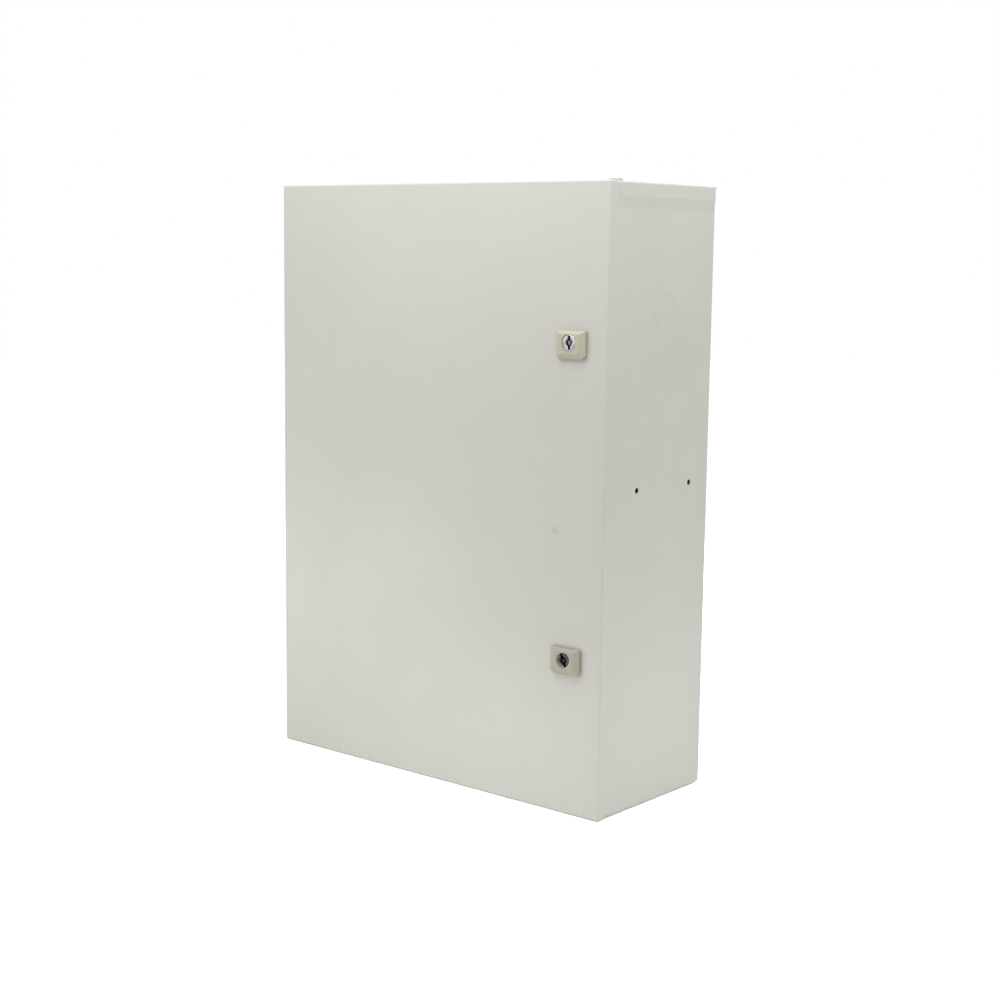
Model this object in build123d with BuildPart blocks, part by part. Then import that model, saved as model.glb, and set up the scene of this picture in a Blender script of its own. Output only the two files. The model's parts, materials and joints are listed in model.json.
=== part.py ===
# Wall-mounting sheet-steel cabinet with one hinged door and two turn locks.
# Millimetres. X runs along the door with the hinges at -X and the locks at +X.
# Y runs from the door to the wall, and Z is up. The origin is under the middle
# of the cabinet, on the surface that it stands on.

import os

from build123d import *

# Overall sizes
door_width = 500.0
door_height = 700.0
cabinet_depth = 203.0

# Body sheets
sheet = 1.2
bend_inside = 1.0
body_inset = 0.5
roof_drop = 0.5
flange_width = 20.0
roof_overlap = 16.0
floor_upstand = 16.0
corner_tab_width = 12.5
corner_tab_depth = 7.5
corner_tab_rise = 2.4
corner_tab_round = 0.8

# Wall holes and side holes
wall_hole_radius = 4.5
wall_hole_from_side = 23.3
wall_hole_from_end = 23.75
side_hole_radius = 3.25
side_hole_height = 364.5
side_hole_depth = 113.0
side_hole_spacing = 102.5
knockout_radius = 19.5
knockout_groove = 0.7
knockout_depth = 0.15
knockout_from_top = 140.5
knockout_from_door = 107.0

# Door
door_sheet = 1.5
door_bend_inside = 0.5
door_corner_round = 2.2
door_return = 14.0
door_gap = 2.5
door_floor_gap = 0.5
dimple_radius = 4.5
dimple_depth = 0.25
dimple_height = 320.5

# Foamed door gasket
gasket_width = 10.0
gasket_thickness = 6.2
gasket_corner = 12.0
gasket_round = 1.5
gasket_clearance = 0.3

# Door rails
rail_from_edge = 67.0
rail_width = 12.0
rail_rise = 12.0
rail_from_end = 60.0
rail_sheet = 1.2
rail_hole_size = 5.0
rail_hole_pitch = 29.0
rail_hole_from_end = 29.0

# Hinges
hinge_from_end = 100.0
hinge_length = 40.0
hinge_from_edge = 5.5
hinge_behind_face = 5.5
pin_radius = 2.0
pin_running_clearance = 0.05
pin_head_radius = 3.0
pin_head_height = 1.5
knuckle_wall = 1.5
knuckle_gap = 0.5
door_knuckle_length = 15.0
bracket_sheet = 2.0
leaf_sheet = 1.5
hinge_clearance = 0.5
hinge_notch_margin = 3.0
hinge_notch_from_face = 3.2
hinge_screw_radius = 2.0
hinge_screw_head_radius = 3.5
hinge_screw_head = 2.4
hinge_screw_length = 8.0
hinge_screw_spacing = 24.0
hinge_screw_from_lip = 6.5

# Locks
lock_from_edge = 47.5
lock_from_end = 175.0
upper_lock_turn = 0.0
lower_lock_turn = 25.0
escutcheon_width = 40.0
escutcheon_height = 30.0
escutcheon_drop = 2.0
escutcheon_proud = 7.0
escutcheon_side_bevel = 6.8
escutcheon_top_bevel = 1.8
escutcheon_bottom_bevel = 4.5
escutcheon_bevel_rise = 3.0
escutcheon_corner = 2.0
escutcheon_corner_cut = 3.5
escutcheon_face_cut = 2.2
seal_thickness = 0.5
seal_inset = 0.5
housing_radius = 9.75
housing_nose_radius = 9.4
housing_nose_recess = 0.5
housing_flange_radius = 11.2
housing_flange = 3.0
housing_hole_clearance = 0.25
housing_fit = 0.1
nut_across_flats = 24.0
nut_thickness = 5.0
insert_radius = 8.4
insert_recess = 0.6
insert_shank_radius = 6.0
insert_head_length = 9.3
insert_running_clearance = 0.05
insert_end_clearance = 0.2
key_recess_depth = 8.0
key_socket_radius = 3.9
key_slot_length = 15.4
key_slot_width = 3.2
key_pin_radius = 1.8
key_pin_recess = 0.5
cam_thickness = 3.0
cam_length = 36.0
cam_width = 15.0
cam_corner = 3.0
cam_hub_radius = 8.0
cam_flange_clearance = 1.0
cam_square = 7.0
cam_square_clearance = 0.05
cam_screw_radius = 2.5
cam_screw_depth = 9.0
cam_screw_across_flats = 8.0
cam_screw_head = 3.5
cam_washer_radius = 5.5
cam_washer = 1.0
washer_hole_clearance = 0.1

# Inner mounting plate on its studs
plate_from_side = 32.1
plate_from_end = 33.75
plate_sheet = 2.0
plate_corner = 5.0
plate_stud_from_edge = 15.0
plate_stand_off = 15.0
stud_radius = 4.0
stud_collar_radius = 7.5
stud_hole_clearance = 0.5
plate_stud_reach = 12.0
stud_washer_radius = 8.0
stud_washer = 1.6
stud_nut_across_flats = 13.0
stud_nut = 6.5

# Earth studs
earth_stud_reach = 15.0
body_earth_from_side = 28.0
body_earth_from_front = 42.0
door_earth_from_edge = 45.0
door_earth_height = 60.0
door_earth_reach = 18.0

# Cable entry opening with its cover
entry_from_side = 57.1
entry_depth = 100.0
entry_corner = 4.0
cover_margin = 16.0
cover_sheet = 1.5
cover_gasket = 1.0
cover_stud_radius = 2.5
cover_stud_reach = 9.0
cover_stud_from_edge = 8.0
cover_stud_clearance = 0.4
cover_nut_across_flats = 8.0
cover_nut = 4.0
cover_nut_flange_radius = 5.6
cover_nut_flange = 1.2

# Places along the depth, from the lock faces to the wall
overall_depth = cabinet_depth + escutcheon_proud
door_face_y = escutcheon_proud - overall_depth / 2
door_inner_y = door_face_y + door_sheet
door_back_y = door_face_y + door_return
body_front_y = door_back_y + door_gap
flange_back_y = body_front_y + sheet
body_back_y = overall_depth / 2
back_inner_y = body_back_y - sheet
body_mid_y = (body_front_y + body_back_y) / 2
gasket_face_y = door_inner_y + gasket_thickness
lip_tip_y = gasket_face_y + gasket_clearance

# Places along the width
door_edge_x = door_width / 2
cap_x = door_edge_x - body_inset
side_x = cap_x - sheet
side_inner_x = side_x - sheet
lip_inner_x = side_x - flange_width
lip_outer_x = lip_inner_x + sheet
gasket_x = lip_inner_x + sheet / 2
rail_x = door_edge_x - rail_from_edge

# Places along the height
door_bottom_z = door_floor_gap
door_top_z = door_bottom_z + door_height
door_mid_z = (door_bottom_z + door_top_z) / 2
body_bottom_z = cover_sheet + cover_gasket
body_top_z = door_top_z - roof_drop
body_mid_z = (body_bottom_z + body_top_z) / 2
roof_under_z = body_top_z - sheet
wrap_top_z = roof_under_z - bend_inside
floor_top_z = body_bottom_z + sheet
upper_lip_z = body_top_z - flange_width
lower_lip_z = body_bottom_z + flange_width
bend_outside = bend_inside + sheet

# Wall holes, and the inner plate with the grid of its studs
wall_hole_spacing_x = 2 * (side_x - wall_hole_from_side)
wall_hole_spacing_z = body_top_z - body_bottom_z - 2 * wall_hole_from_end
plate_width = 2 * (side_inner_x - plate_from_side)
plate_height = body_top_z - body_bottom_z - 2 * plate_from_end
plate_stud_spacing_x = plate_width - 2 * plate_stud_from_edge
plate_stud_spacing_z = plate_height - 2 * plate_stud_from_edge
rail_length = door_height - 2 * rail_from_end
rail_hole_count = int((rail_length - 2 * rail_hole_from_end) // rail_hole_pitch) + 1

# Cable entry with its cover, and the grid of the cover's studs
entry_width = 2 * (side_inner_x - entry_from_side)
cover_width = entry_width + 2 * cover_margin
cover_depth = entry_depth + 2 * cover_margin
cover_stud_step_x = cover_width / 2 - cover_stud_from_edge
cover_stud_step_y = cover_depth - 2 * cover_stud_from_edge

# Hinge places
pivot_x = hinge_from_edge - door_edge_x
pivot_y = door_face_y + hinge_behind_face
knuckle_radius = pin_radius + pin_running_clearance + knuckle_wall
hinge_heights = {
    "upper": door_top_z - hinge_from_end,
    "lower": door_bottom_z + hinge_from_end,
}
hinge_screw_x = -lip_outer_x - hinge_screw_from_lip

# Lock places. Heights in the locks are counted outwards from the door's face.
lock_x = door_edge_x - lock_from_edge
lock_heights = {
    "upper": door_top_z - lock_from_end + escutcheon_drop,
    "lower": door_bottom_z + lock_from_end + escutcheon_drop,
}
lock_turns = {"upper": upper_lock_turn, "lower": lower_lock_turn}
escutcheon_face_lift = (escutcheon_bottom_bevel - escutcheon_top_bevel) / 2
cam_front = door_face_y - flange_back_y - cam_flange_clearance
cam_back = cam_front - cam_thickness
insert_face = escutcheon_proud - insert_recess
insert_shoulder = insert_face - insert_head_length
housing_back = cam_front + insert_end_clearance
housing_shoulder = insert_shoulder - insert_end_clearance

os.makedirs("parts", exist_ok=True)
pieces = {}


# Back and both sides, folded from one sheet, with the front sealing flanges
with BuildPart() as shell_wrap:
    with BuildSketch(Plane.XY.offset(body_bottom_z)) as wrap_section:
        with BuildLine() as wrap_line:
            FilletPolyline(
                (-lip_outer_x, lip_tip_y),
                (-lip_outer_x, body_front_y),
                (-side_x, body_front_y),
                (-side_x, body_back_y),
                (side_x, body_back_y),
                (side_x, body_front_y),
                (lip_outer_x, body_front_y),
                (lip_outer_x, lip_tip_y),
                radius=[bend_inside] + [bend_outside] * 4 + [bend_inside],
            )
            offset(amount=sheet, side=Side.RIGHT)
        make_face()
    extrude(amount=wrap_top_z - body_bottom_z)
    # The flanges stop where those of the roof and the floor close the frame
    with BuildSketch(Plane.XZ.offset(-lip_tip_y)) as frame_corners:
        with Locations((0, upper_lip_z)):
            Rectangle(
                2 * side_inner_x,
                flange_width,
                align=(Align.CENTER, Align.MIN),
            )
        with Locations((0, lower_lip_z)):
            Rectangle(
                2 * side_inner_x,
                flange_width,
                align=(Align.CENTER, Align.MAX),
            )
    extrude(amount=lip_tip_y - flange_back_y - bend_inside, mode=Mode.SUBTRACT)
    # The roof's front flange covers the front edges of the sides
    with BuildSketch(Plane.XZ.offset(-lip_tip_y)) as roof_front_room:
        with Locations((0, body_top_z - roof_overlap)):
            Rectangle(
                2 * side_x,
                roof_overlap,
                align=(Align.CENTER, Align.MIN),
            )
    extrude(amount=lip_tip_y - flange_back_y - bend_inside, mode=Mode.SUBTRACT)
    # The back's top edge is folded forward under the roof
    with BuildSketch(Plane.YZ.offset(-side_inner_x + bend_inside)) as back_flange:
        with BuildLine() as back_flange_line:
            FilletPolyline(
                (body_back_y, roof_under_z - roof_overlap),
                (body_back_y, roof_under_z),
                (body_back_y - roof_overlap, roof_under_z),
                radius=bend_outside,
            )
            offset(amount=sheet, side=Side.LEFT)
        make_face()
    extrude(amount=2 * (side_inner_x - bend_inside))
    with Locations(Plane.XZ.offset(-body_back_y)):
        with Locations((0, body_mid_z)):
            with GridLocations(wall_hole_spacing_x, wall_hole_spacing_z, 2, 2):
                Hole(wall_hole_radius, depth=2 * sheet)
    with Locations(Plane.YZ.offset(side_x)):
        with Locations((door_face_y + side_hole_depth, side_hole_height)):
            with GridLocations(side_hole_spacing, 1, 2, 1):
                Hole(side_hole_radius, depth=2 * sheet)
    # Outline of a round knock-out, pressed part way through the side
    with BuildSketch(Plane.YZ.offset(side_x)) as knockout_ring:
        with Locations((door_face_y + knockout_from_door, body_top_z - knockout_from_top)):
            Circle(knockout_radius + knockout_groove / 2)
            Circle(knockout_radius - knockout_groove / 2, mode=Mode.SUBTRACT)
    extrude(amount=-knockout_depth, mode=Mode.SUBTRACT)
    for hinge_z in hinge_heights.values():
        with Locations(Plane.XZ.offset(-body_front_y)):
            with Locations((hinge_screw_x, hinge_z)):
                with GridLocations(1, hinge_screw_spacing, 1, 2):
                    Hole(hinge_screw_radius, depth=2 * sheet)
pieces["shell_wrap"] = shell_wrap


# Roof: a cap that laps over the outside of the sides and closes the frame
with BuildPart() as roof_panel:
    with BuildSketch(Plane.XY.offset(body_top_z - roof_overlap)) as roof_outline:
        with Locations((0, body_mid_y)):
            Rectangle(2 * cap_x, body_back_y - body_front_y)
    extrude(amount=roof_overlap)
    roof_top = roof_panel.faces().sort_by(Axis.Z)[-1].edges().sort_by(Axis.Y)[:-1]
    roof_corners = roof_panel.edges().filter_by(Axis.Z).sort_by(Axis.Y)[:2]
    fillet(roof_top + roof_corners, radius=bend_outside)
    roof_open_faces = [
        roof_panel.faces().sort_by(Axis.Z)[0],
        roof_panel.faces().sort_by(Axis.Y)[-1],
    ]
    offset(amount=-sheet, openings=roof_open_faces)
    # The side flanges end where the bends of the back's corners begin
    with BuildSketch(Plane.XY.offset(body_top_z - roof_overlap)) as flange_ends:
        with Locations((0, body_back_y - bend_outside)):
            Rectangle(2 * cap_x, bend_outside, align=(Align.CENTER, Align.MIN))
            Rectangle(
                2 * side_x,
                bend_outside,
                align=(Align.CENTER, Align.MIN),
                mode=Mode.SUBTRACT,
            )
    extrude(amount=roof_overlap - bend_outside, mode=Mode.SUBTRACT)
    # Front flange and its lip, between the flanges of the sides
    with BuildSketch(Plane.YZ.offset(-side_inner_x)) as roof_flange_section:
        with BuildLine() as roof_flange_line:
            FilletPolyline(
                (lip_tip_y, upper_lip_z + sheet),
                (body_front_y, upper_lip_z + sheet),
                (body_front_y, body_top_z - bend_outside),
                radius=bend_inside,
            )
            offset(amount=sheet, side=Side.RIGHT)
        make_face()
    extrude(amount=2 * side_inner_x)
    # The lip runs only between the lips of the sides
    with BuildSketch(Plane.XY.offset(upper_lip_z)) as roof_lip_ends:
        with Locations((0, (lip_tip_y + body_front_y) / 2)):
            Rectangle(2 * side_x, body_front_y - lip_tip_y)
            Rectangle(
                2 * lip_outer_x,
                body_front_y - lip_tip_y,
                mode=Mode.SUBTRACT,
            )
    extrude(amount=sheet + bend_inside, mode=Mode.SUBTRACT)
    # Small angle left standing at the right front corner
    with BuildSketch(Plane.XZ.offset(-flange_back_y)) as tab_outline:
        with Locations((side_inner_x, body_top_z - bend_outside)):
            tab = Rectangle(
                corner_tab_width,
                corner_tab_rise + bend_outside,
                align=(Align.MAX, Align.MIN),
            )
        fillet(tab.vertices().group_by(Axis.Y)[-1], radius=corner_tab_round)
    extrude(amount=sheet)
    with BuildSketch(Plane.YZ.offset(side_inner_x)) as tab_side:
        with Locations((body_front_y, body_top_z - bend_outside)):
            side_leaf = Rectangle(
                corner_tab_depth,
                corner_tab_rise + bend_outside,
                align=(Align.MIN, Align.MIN),
            )
        fillet(side_leaf.vertices().group_by(Axis.Y)[-1], radius=corner_tab_round)
    extrude(amount=-sheet)
pieces["roof_panel"] = roof_panel


# Floor: a tray between the sides, with the cable entry opening
with BuildPart() as floor_panel:
    with BuildSketch(Plane.XY.offset(body_bottom_z)) as floor_outline:
        with Locations((0, (body_front_y + back_inner_y) / 2)):
            Rectangle(2 * side_inner_x, back_inner_y - body_front_y)
    extrude(amount=floor_upstand)
    floor_bottom = floor_panel.faces().sort_by(Axis.Z)[0].edges()
    floor_corners = floor_panel.edges().filter_by(Axis.Z)
    fillet(floor_bottom + floor_corners, radius=bend_outside)
    offset(amount=-sheet, openings=floor_panel.faces().sort_by(Axis.Z)[-1])
    # Front flange and its lip, between the flanges of the sides
    with BuildSketch(Plane.YZ.offset(-side_inner_x)) as floor_flange_section:
        with BuildLine() as floor_flange_line:
            FilletPolyline(
                (lip_tip_y, lower_lip_z - sheet),
                (body_front_y, lower_lip_z - sheet),
                (body_front_y, body_bottom_z + bend_outside),
                radius=bend_inside,
            )
            offset(amount=sheet, side=Side.LEFT)
        make_face()
    extrude(amount=2 * side_inner_x)
    floor_lip_z = lower_lip_z - sheet - bend_inside
    with BuildSketch(Plane.XY.offset(floor_lip_z)) as floor_lip_ends:
        with Locations((0, (lip_tip_y + body_front_y) / 2)):
            Rectangle(2 * side_x, body_front_y - lip_tip_y)
            Rectangle(
                2 * lip_outer_x,
                body_front_y - lip_tip_y,
                mode=Mode.SUBTRACT,
            )
    extrude(amount=sheet + bend_inside, mode=Mode.SUBTRACT)
    with BuildSketch(Plane.XY.offset(body_bottom_z)) as entry_outline:
        with Locations((0, body_mid_y)):
            RectangleRounded(entry_width, entry_depth, entry_corner)
            with GridLocations(cover_stud_step_x, cover_stud_step_y, 3, 2):
                Circle(cover_stud_radius + cover_stud_clearance)
    extrude(amount=sheet, mode=Mode.SUBTRACT)
pieces["floor_panel"] = floor_panel


# Cover of the cable entry, with its welded studs, its gasket and its nuts
with BuildPart() as gland_plate:
    with BuildSketch() as cover_outline:
        with Locations((0, body_mid_y)):
            RectangleRounded(cover_width, cover_depth, entry_corner)
    extrude(amount=cover_sheet)
pieces["gland_plate"] = gland_plate

with BuildPart() as gland_studs:
    with BuildSketch(Plane.XY.offset(cover_sheet)) as cover_stud_outline:
        with Locations((0, body_mid_y)):
            with GridLocations(cover_stud_step_x, cover_stud_step_y, 3, 2):
                Circle(cover_stud_radius)
    extrude(amount=cover_stud_reach)
pieces["gland_studs"] = gland_studs

with BuildPart() as gland_gasket:
    with BuildSketch(Plane.XY.offset(cover_sheet)) as cover_gasket_outline:
        with Locations((0, body_mid_y)):
            RectangleRounded(cover_width, cover_depth, entry_corner)
            RectangleRounded(entry_width, entry_depth, entry_corner, mode=Mode.SUBTRACT)
            with GridLocations(cover_stud_step_x, cover_stud_step_y, 3, 2):
                Circle(cover_stud_radius, mode=Mode.SUBTRACT)
    extrude(amount=cover_gasket)
pieces["gland_gasket"] = gland_gasket

with BuildPart() as gland_nuts:
    with BuildSketch(Plane.XY.offset(floor_top_z)) as cover_nut_flanges:
        with Locations((0, body_mid_y)):
            with GridLocations(cover_stud_step_x, cover_stud_step_y, 3, 2):
                Circle(cover_nut_flange_radius)
    extrude(amount=cover_nut_flange)
    with BuildSketch(Plane.XY.offset(floor_top_z)) as cover_nut_hexes:
        with Locations((0, body_mid_y)):
            with GridLocations(cover_stud_step_x, cover_stud_step_y, 3, 2):
                RegularPolygon(cover_nut_across_flats / 2, 6, major_radius=False)
    extrude(amount=cover_nut)
    with Locations(Plane.XY.offset(floor_top_z + cover_nut)):
        with Locations((0, body_mid_y)):
            with GridLocations(cover_stud_step_x, cover_stud_step_y, 3, 2):
                Hole(cover_stud_radius, depth=cover_nut)
pieces["gland_nuts"] = gland_nuts


# Mounting plate, carried off the back on four collar studs
plate_back_y = back_inner_y - plate_stand_off
plate_face_y = plate_back_y - plate_sheet
plate_nut_y = plate_face_y - stud_washer

with BuildPart() as plate_studs:
    with BuildSketch(Plane.XZ.offset(-back_inner_y)) as stud_collars:
        with Locations((0, body_mid_z)):
            with GridLocations(plate_stud_spacing_x, plate_stud_spacing_z, 2, 2):
                Circle(stud_collar_radius)
    extrude(amount=plate_stand_off)
    with BuildSketch(Plane.XZ.offset(-plate_back_y)) as stud_threads:
        with Locations((0, body_mid_z)):
            with GridLocations(plate_stud_spacing_x, plate_stud_spacing_z, 2, 2):
                Circle(stud_radius)
    extrude(amount=plate_stud_reach)
pieces["plate_studs"] = plate_studs

with BuildPart() as mounting_plate:
    with BuildSketch(Plane.XZ.offset(-plate_back_y)) as plate_outline:
        with Locations((0, body_mid_z)):
            RectangleRounded(plate_width, plate_height, plate_corner)
            with GridLocations(plate_stud_spacing_x, plate_stud_spacing_z, 2, 2):
                Circle(stud_radius + stud_hole_clearance, mode=Mode.SUBTRACT)
    extrude(amount=plate_sheet)
pieces["mounting_plate"] = mounting_plate

with BuildPart() as plate_washers:
    with BuildSketch(Plane.XZ.offset(-plate_face_y)) as plate_washer_outline:
        with Locations((0, body_mid_z)):
            with GridLocations(plate_stud_spacing_x, plate_stud_spacing_z, 2, 2):
                Circle(stud_washer_radius)
                Circle(stud_radius + washer_hole_clearance, mode=Mode.SUBTRACT)
    extrude(amount=stud_washer)
pieces["plate_washers"] = plate_washers

with BuildPart() as plate_nuts:
    with BuildSketch(Plane.XZ.offset(-plate_nut_y)) as plate_nut_outline:
        with Locations((0, body_mid_z)):
            with GridLocations(plate_stud_spacing_x, plate_stud_spacing_z, 2, 2):
                RegularPolygon(stud_nut_across_flats / 2, 6, major_radius=False)
                Circle(stud_radius, mode=Mode.SUBTRACT)
    extrude(amount=stud_nut)
pieces["plate_nuts"] = plate_nuts


# Earth stud on the floor, with a washer and a nut
body_earth = Plane(
    origin=(
        body_earth_from_side - side_x,
        body_front_y + body_earth_from_front,
        floor_top_z,
    )
)

with BuildPart() as earth_stud:
    with BuildSketch(body_earth) as earth_stud_outline:
        Circle(stud_radius)
    extrude(amount=earth_stud_reach)
pieces["earth_stud"] = earth_stud

with BuildPart() as earth_washer:
    with BuildSketch(body_earth) as earth_washer_outline:
        Circle(stud_washer_radius)
        Circle(stud_radius + washer_hole_clearance, mode=Mode.SUBTRACT)
    extrude(amount=stud_washer)
pieces["earth_washer"] = earth_washer

with BuildPart() as earth_nut:
    with BuildSketch(body_earth.offset(stud_washer)) as earth_nut_outline:
        RegularPolygon(stud_nut_across_flats / 2, 6, major_radius=False)
        Circle(stud_radius, mode=Mode.SUBTRACT)
    extrude(amount=stud_nut)
pieces["earth_nut"] = earth_nut


# Door: a flat tray with returns on all four sides
with BuildPart() as door_panel:
    with BuildSketch(Plane.XZ.offset(-door_back_y)) as door_outline:
        with Locations((0, door_mid_z)):
            RectangleRounded(door_width, door_height, door_corner_round)
    extrude(amount=door_return)
    door_rim = door_panel.faces().sort_by(Axis.Y)[0].edges()
    fillet(door_rim, radius=door_bend_inside + door_sheet)
    door_open_face = door_panel.faces().sort_by(Axis.Y)[-1]
    offset(amount=-door_sheet, openings=door_open_face)
    # Notches in the left return let the hinge brackets reach the pins
    for hinge_z in hinge_heights.values():
        with BuildSketch(Plane.YZ.offset(-door_edge_x)) as hinge_notch:
            with Locations((door_back_y, hinge_z)):
                Rectangle(
                    door_return - hinge_notch_from_face,
                    hinge_length + 2 * hinge_notch_margin,
                    align=(Align.MAX, Align.CENTER),
                )
        extrude(amount=door_sheet, mode=Mode.SUBTRACT)
    for lock_z in lock_heights.values():
        with Locations(Plane.XZ.offset(-door_face_y)):
            with Locations((lock_x, lock_z)):
                Hole(housing_radius + housing_hole_clearance, depth=door_sheet)
    # Faint round dimple where the right rail is welded behind the sheet
    dimple_sphere = (dimple_radius**2 + dimple_depth**2) / (2 * dimple_depth)
    with Locations((rail_x, door_face_y + dimple_depth - dimple_sphere, dimple_height)):
        Sphere(dimple_sphere, mode=Mode.SUBTRACT)
pieces["door_panel"] = door_panel


with BuildPart() as door_gasket:
    gasket_height = upper_lip_z - lower_lip_z + sheet
    with BuildSketch(Plane.XZ.offset(-gasket_face_y)) as gasket_outline:
        with Locations((0, (upper_lip_z + lower_lip_z) / 2)):
            RectangleRounded(
                2 * gasket_x + gasket_width,
                gasket_height + gasket_width,
                gasket_corner,
            )
            RectangleRounded(
                2 * gasket_x - gasket_width,
                gasket_height - gasket_width,
                gasket_corner - gasket_width,
                mode=Mode.SUBTRACT,
            )
    extrude(amount=gasket_thickness)
    gasket_rim = door_gasket.faces().sort_by(Axis.Y)[-1].edges()
    fillet(gasket_rim, radius=gasket_round)
pieces["door_gasket"] = door_gasket


# Perforated rails behind the door sheet, at equal distance from both edges
rail_back_y = door_inner_y + rail_rise
for rail_name, rail_centre_x in (("left", -rail_x), ("right", rail_x)):
    with BuildPart() as door_rail:
        with BuildSketch(Plane.XY.offset(door_mid_z - rail_length / 2)) as rail_section:
            with BuildLine() as rail_line:
                FilletPolyline(
                    (rail_centre_x - rail_width / 2, door_inner_y),
                    (rail_centre_x - rail_width / 2, rail_back_y),
                    (rail_centre_x + rail_width / 2, rail_back_y),
                    (rail_centre_x + rail_width / 2, door_inner_y),
                    radius=bend_outside,
                )
                offset(amount=rail_sheet, side=Side.RIGHT)
            make_face()
        extrude(amount=rail_length)
        with BuildSketch(Plane.XZ.offset(-rail_back_y)) as rail_holes:
            with Locations((rail_centre_x, door_mid_z)):
                with GridLocations(1, rail_hole_pitch, 1, rail_hole_count):
                    Rectangle(rail_hole_size, rail_hole_size)
        extrude(amount=rail_sheet, mode=Mode.SUBTRACT)
    pieces[f"door_rail_{rail_name}"] = door_rail


# Earth stud on the door, with its nut
door_earth = Plane(
    origin=(door_earth_from_edge - door_edge_x, door_inner_y, door_earth_height),
    x_dir=(1, 0, 0),
    z_dir=(0, 1, 0),
)

with BuildPart() as door_earth_stud:
    with BuildSketch(door_earth) as door_earth_outline:
        Circle(stud_radius)
    extrude(amount=door_earth_reach)
pieces["door_earth_stud"] = door_earth_stud

with BuildPart() as door_earth_nut:
    with BuildSketch(door_earth) as door_earth_nut_outline:
        RegularPolygon(stud_nut_across_flats / 2, 6, major_radius=False)
        Circle(stud_radius, mode=Mode.SUBTRACT)
    extrude(amount=stud_nut)
pieces["door_earth_nut"] = door_earth_nut


# Hidden hinges: a screwed bracket on the body, a welded leaf on the door, a pin
for place, hinge_z in hinge_heights.items():
    hinge_foot_z = hinge_z - hinge_length / 2

    with BuildPart() as hinge_bracket:
        with BuildSketch(Plane.XY.offset(hinge_foot_z)) as bracket_section:
            with Locations((pivot_x, pivot_y)):
                Circle(knuckle_radius)
            with BuildLine() as bracket_line:
                FilletPolyline(
                    (pivot_x + knuckle_radius, pivot_y),
                    (pivot_x + knuckle_radius, body_front_y - bracket_sheet),
                    (-lip_outer_x - bend_inside, body_front_y - bracket_sheet),
                    radius=bend_inside,
                )
                offset(amount=bracket_sheet, side=Side.LEFT)
            make_face()
        extrude(amount=hinge_length)
        # Room for the door's knuckle between the two of the bracket
        with BuildSketch(Plane.XY.offset(hinge_z)) as door_knuckle_room:
            with Locations((pivot_x, pivot_y)):
                Rectangle(
                    2 * (knuckle_radius + hinge_clearance),
                    2 * (knuckle_radius + hinge_clearance),
                )
        extrude(
            amount=door_knuckle_length / 2 + knuckle_gap,
            both=True,
            mode=Mode.SUBTRACT,
        )
        with Locations((pivot_x, pivot_y, hinge_z + hinge_length / 2)):
            Hole(pin_radius, depth=hinge_length)
        with Locations(Plane.XZ.offset(bracket_sheet - body_front_y)):
            with Locations((hinge_screw_x, hinge_z)):
                with GridLocations(1, hinge_screw_spacing, 1, 2):
                    Hole(hinge_screw_radius, depth=bracket_sheet)
    pieces[f"{place}_hinge_bracket"] = hinge_bracket

    with BuildPart() as hinge_pin:
        with BuildSketch(Plane.XY.offset(hinge_foot_z)) as pin_outline:
            with Locations((pivot_x, pivot_y)):
                Circle(pin_radius)
        extrude(amount=hinge_length)
        with BuildSketch(Plane.XY.offset(hinge_foot_z + hinge_length)) as pin_head:
            with Locations((pivot_x, pivot_y)):
                Circle(pin_head_radius)
        extrude(amount=pin_head_height)
    pieces[f"{place}_hinge_pin"] = hinge_pin

    with BuildPart() as hinge_screws:
        with BuildSketch(Plane.XZ.offset(bracket_sheet - body_front_y)) as screw_heads:
            with Locations((hinge_screw_x, hinge_z)):
                with GridLocations(1, hinge_screw_spacing, 1, 2):
                    Circle(hinge_screw_head_radius)
        extrude(amount=hinge_screw_head)
        with BuildSketch(Plane.XZ.offset(bracket_sheet - body_front_y)) as screw_shanks:
            with Locations((hinge_screw_x, hinge_z)):
                with GridLocations(1, hinge_screw_spacing, 1, 2):
                    Circle(hinge_screw_radius)
        extrude(amount=-hinge_screw_length)
    pieces[f"{place}_hinge_screws"] = hinge_screws

    with BuildPart() as hinge_leaf:
        leaf_near_x = pivot_x + knuckle_radius + hinge_clearance
        leaf_far_x = -gasket_x - gasket_width / 2 - hinge_clearance
        with BuildSketch(Plane.XZ.offset(-door_inner_y)) as leaf_outline:
            with Locations(((leaf_near_x + leaf_far_x) / 2, hinge_z)):
                Rectangle(leaf_far_x - leaf_near_x, hinge_length)
        extrude(amount=-leaf_sheet)
        # The leaf's middle is rolled round the pin
        with BuildSketch(
            Plane.XY.offset(hinge_z - door_knuckle_length / 2)
        ) as door_knuckle:
            with Locations((pivot_x, pivot_y)):
                Circle(knuckle_radius)
            with Locations((pivot_x, door_inner_y)):
                Rectangle(
                    leaf_near_x - pivot_x,
                    leaf_sheet,
                    align=(Align.MIN, Align.MIN),
                )
        extrude(amount=door_knuckle_length)
        with Locations((pivot_x, pivot_y, hinge_z + hinge_length / 2)):
            Hole(pin_radius + pin_running_clearance, depth=hinge_length)
    pieces[f"{place}_hinge_leaf"] = hinge_leaf


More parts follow.
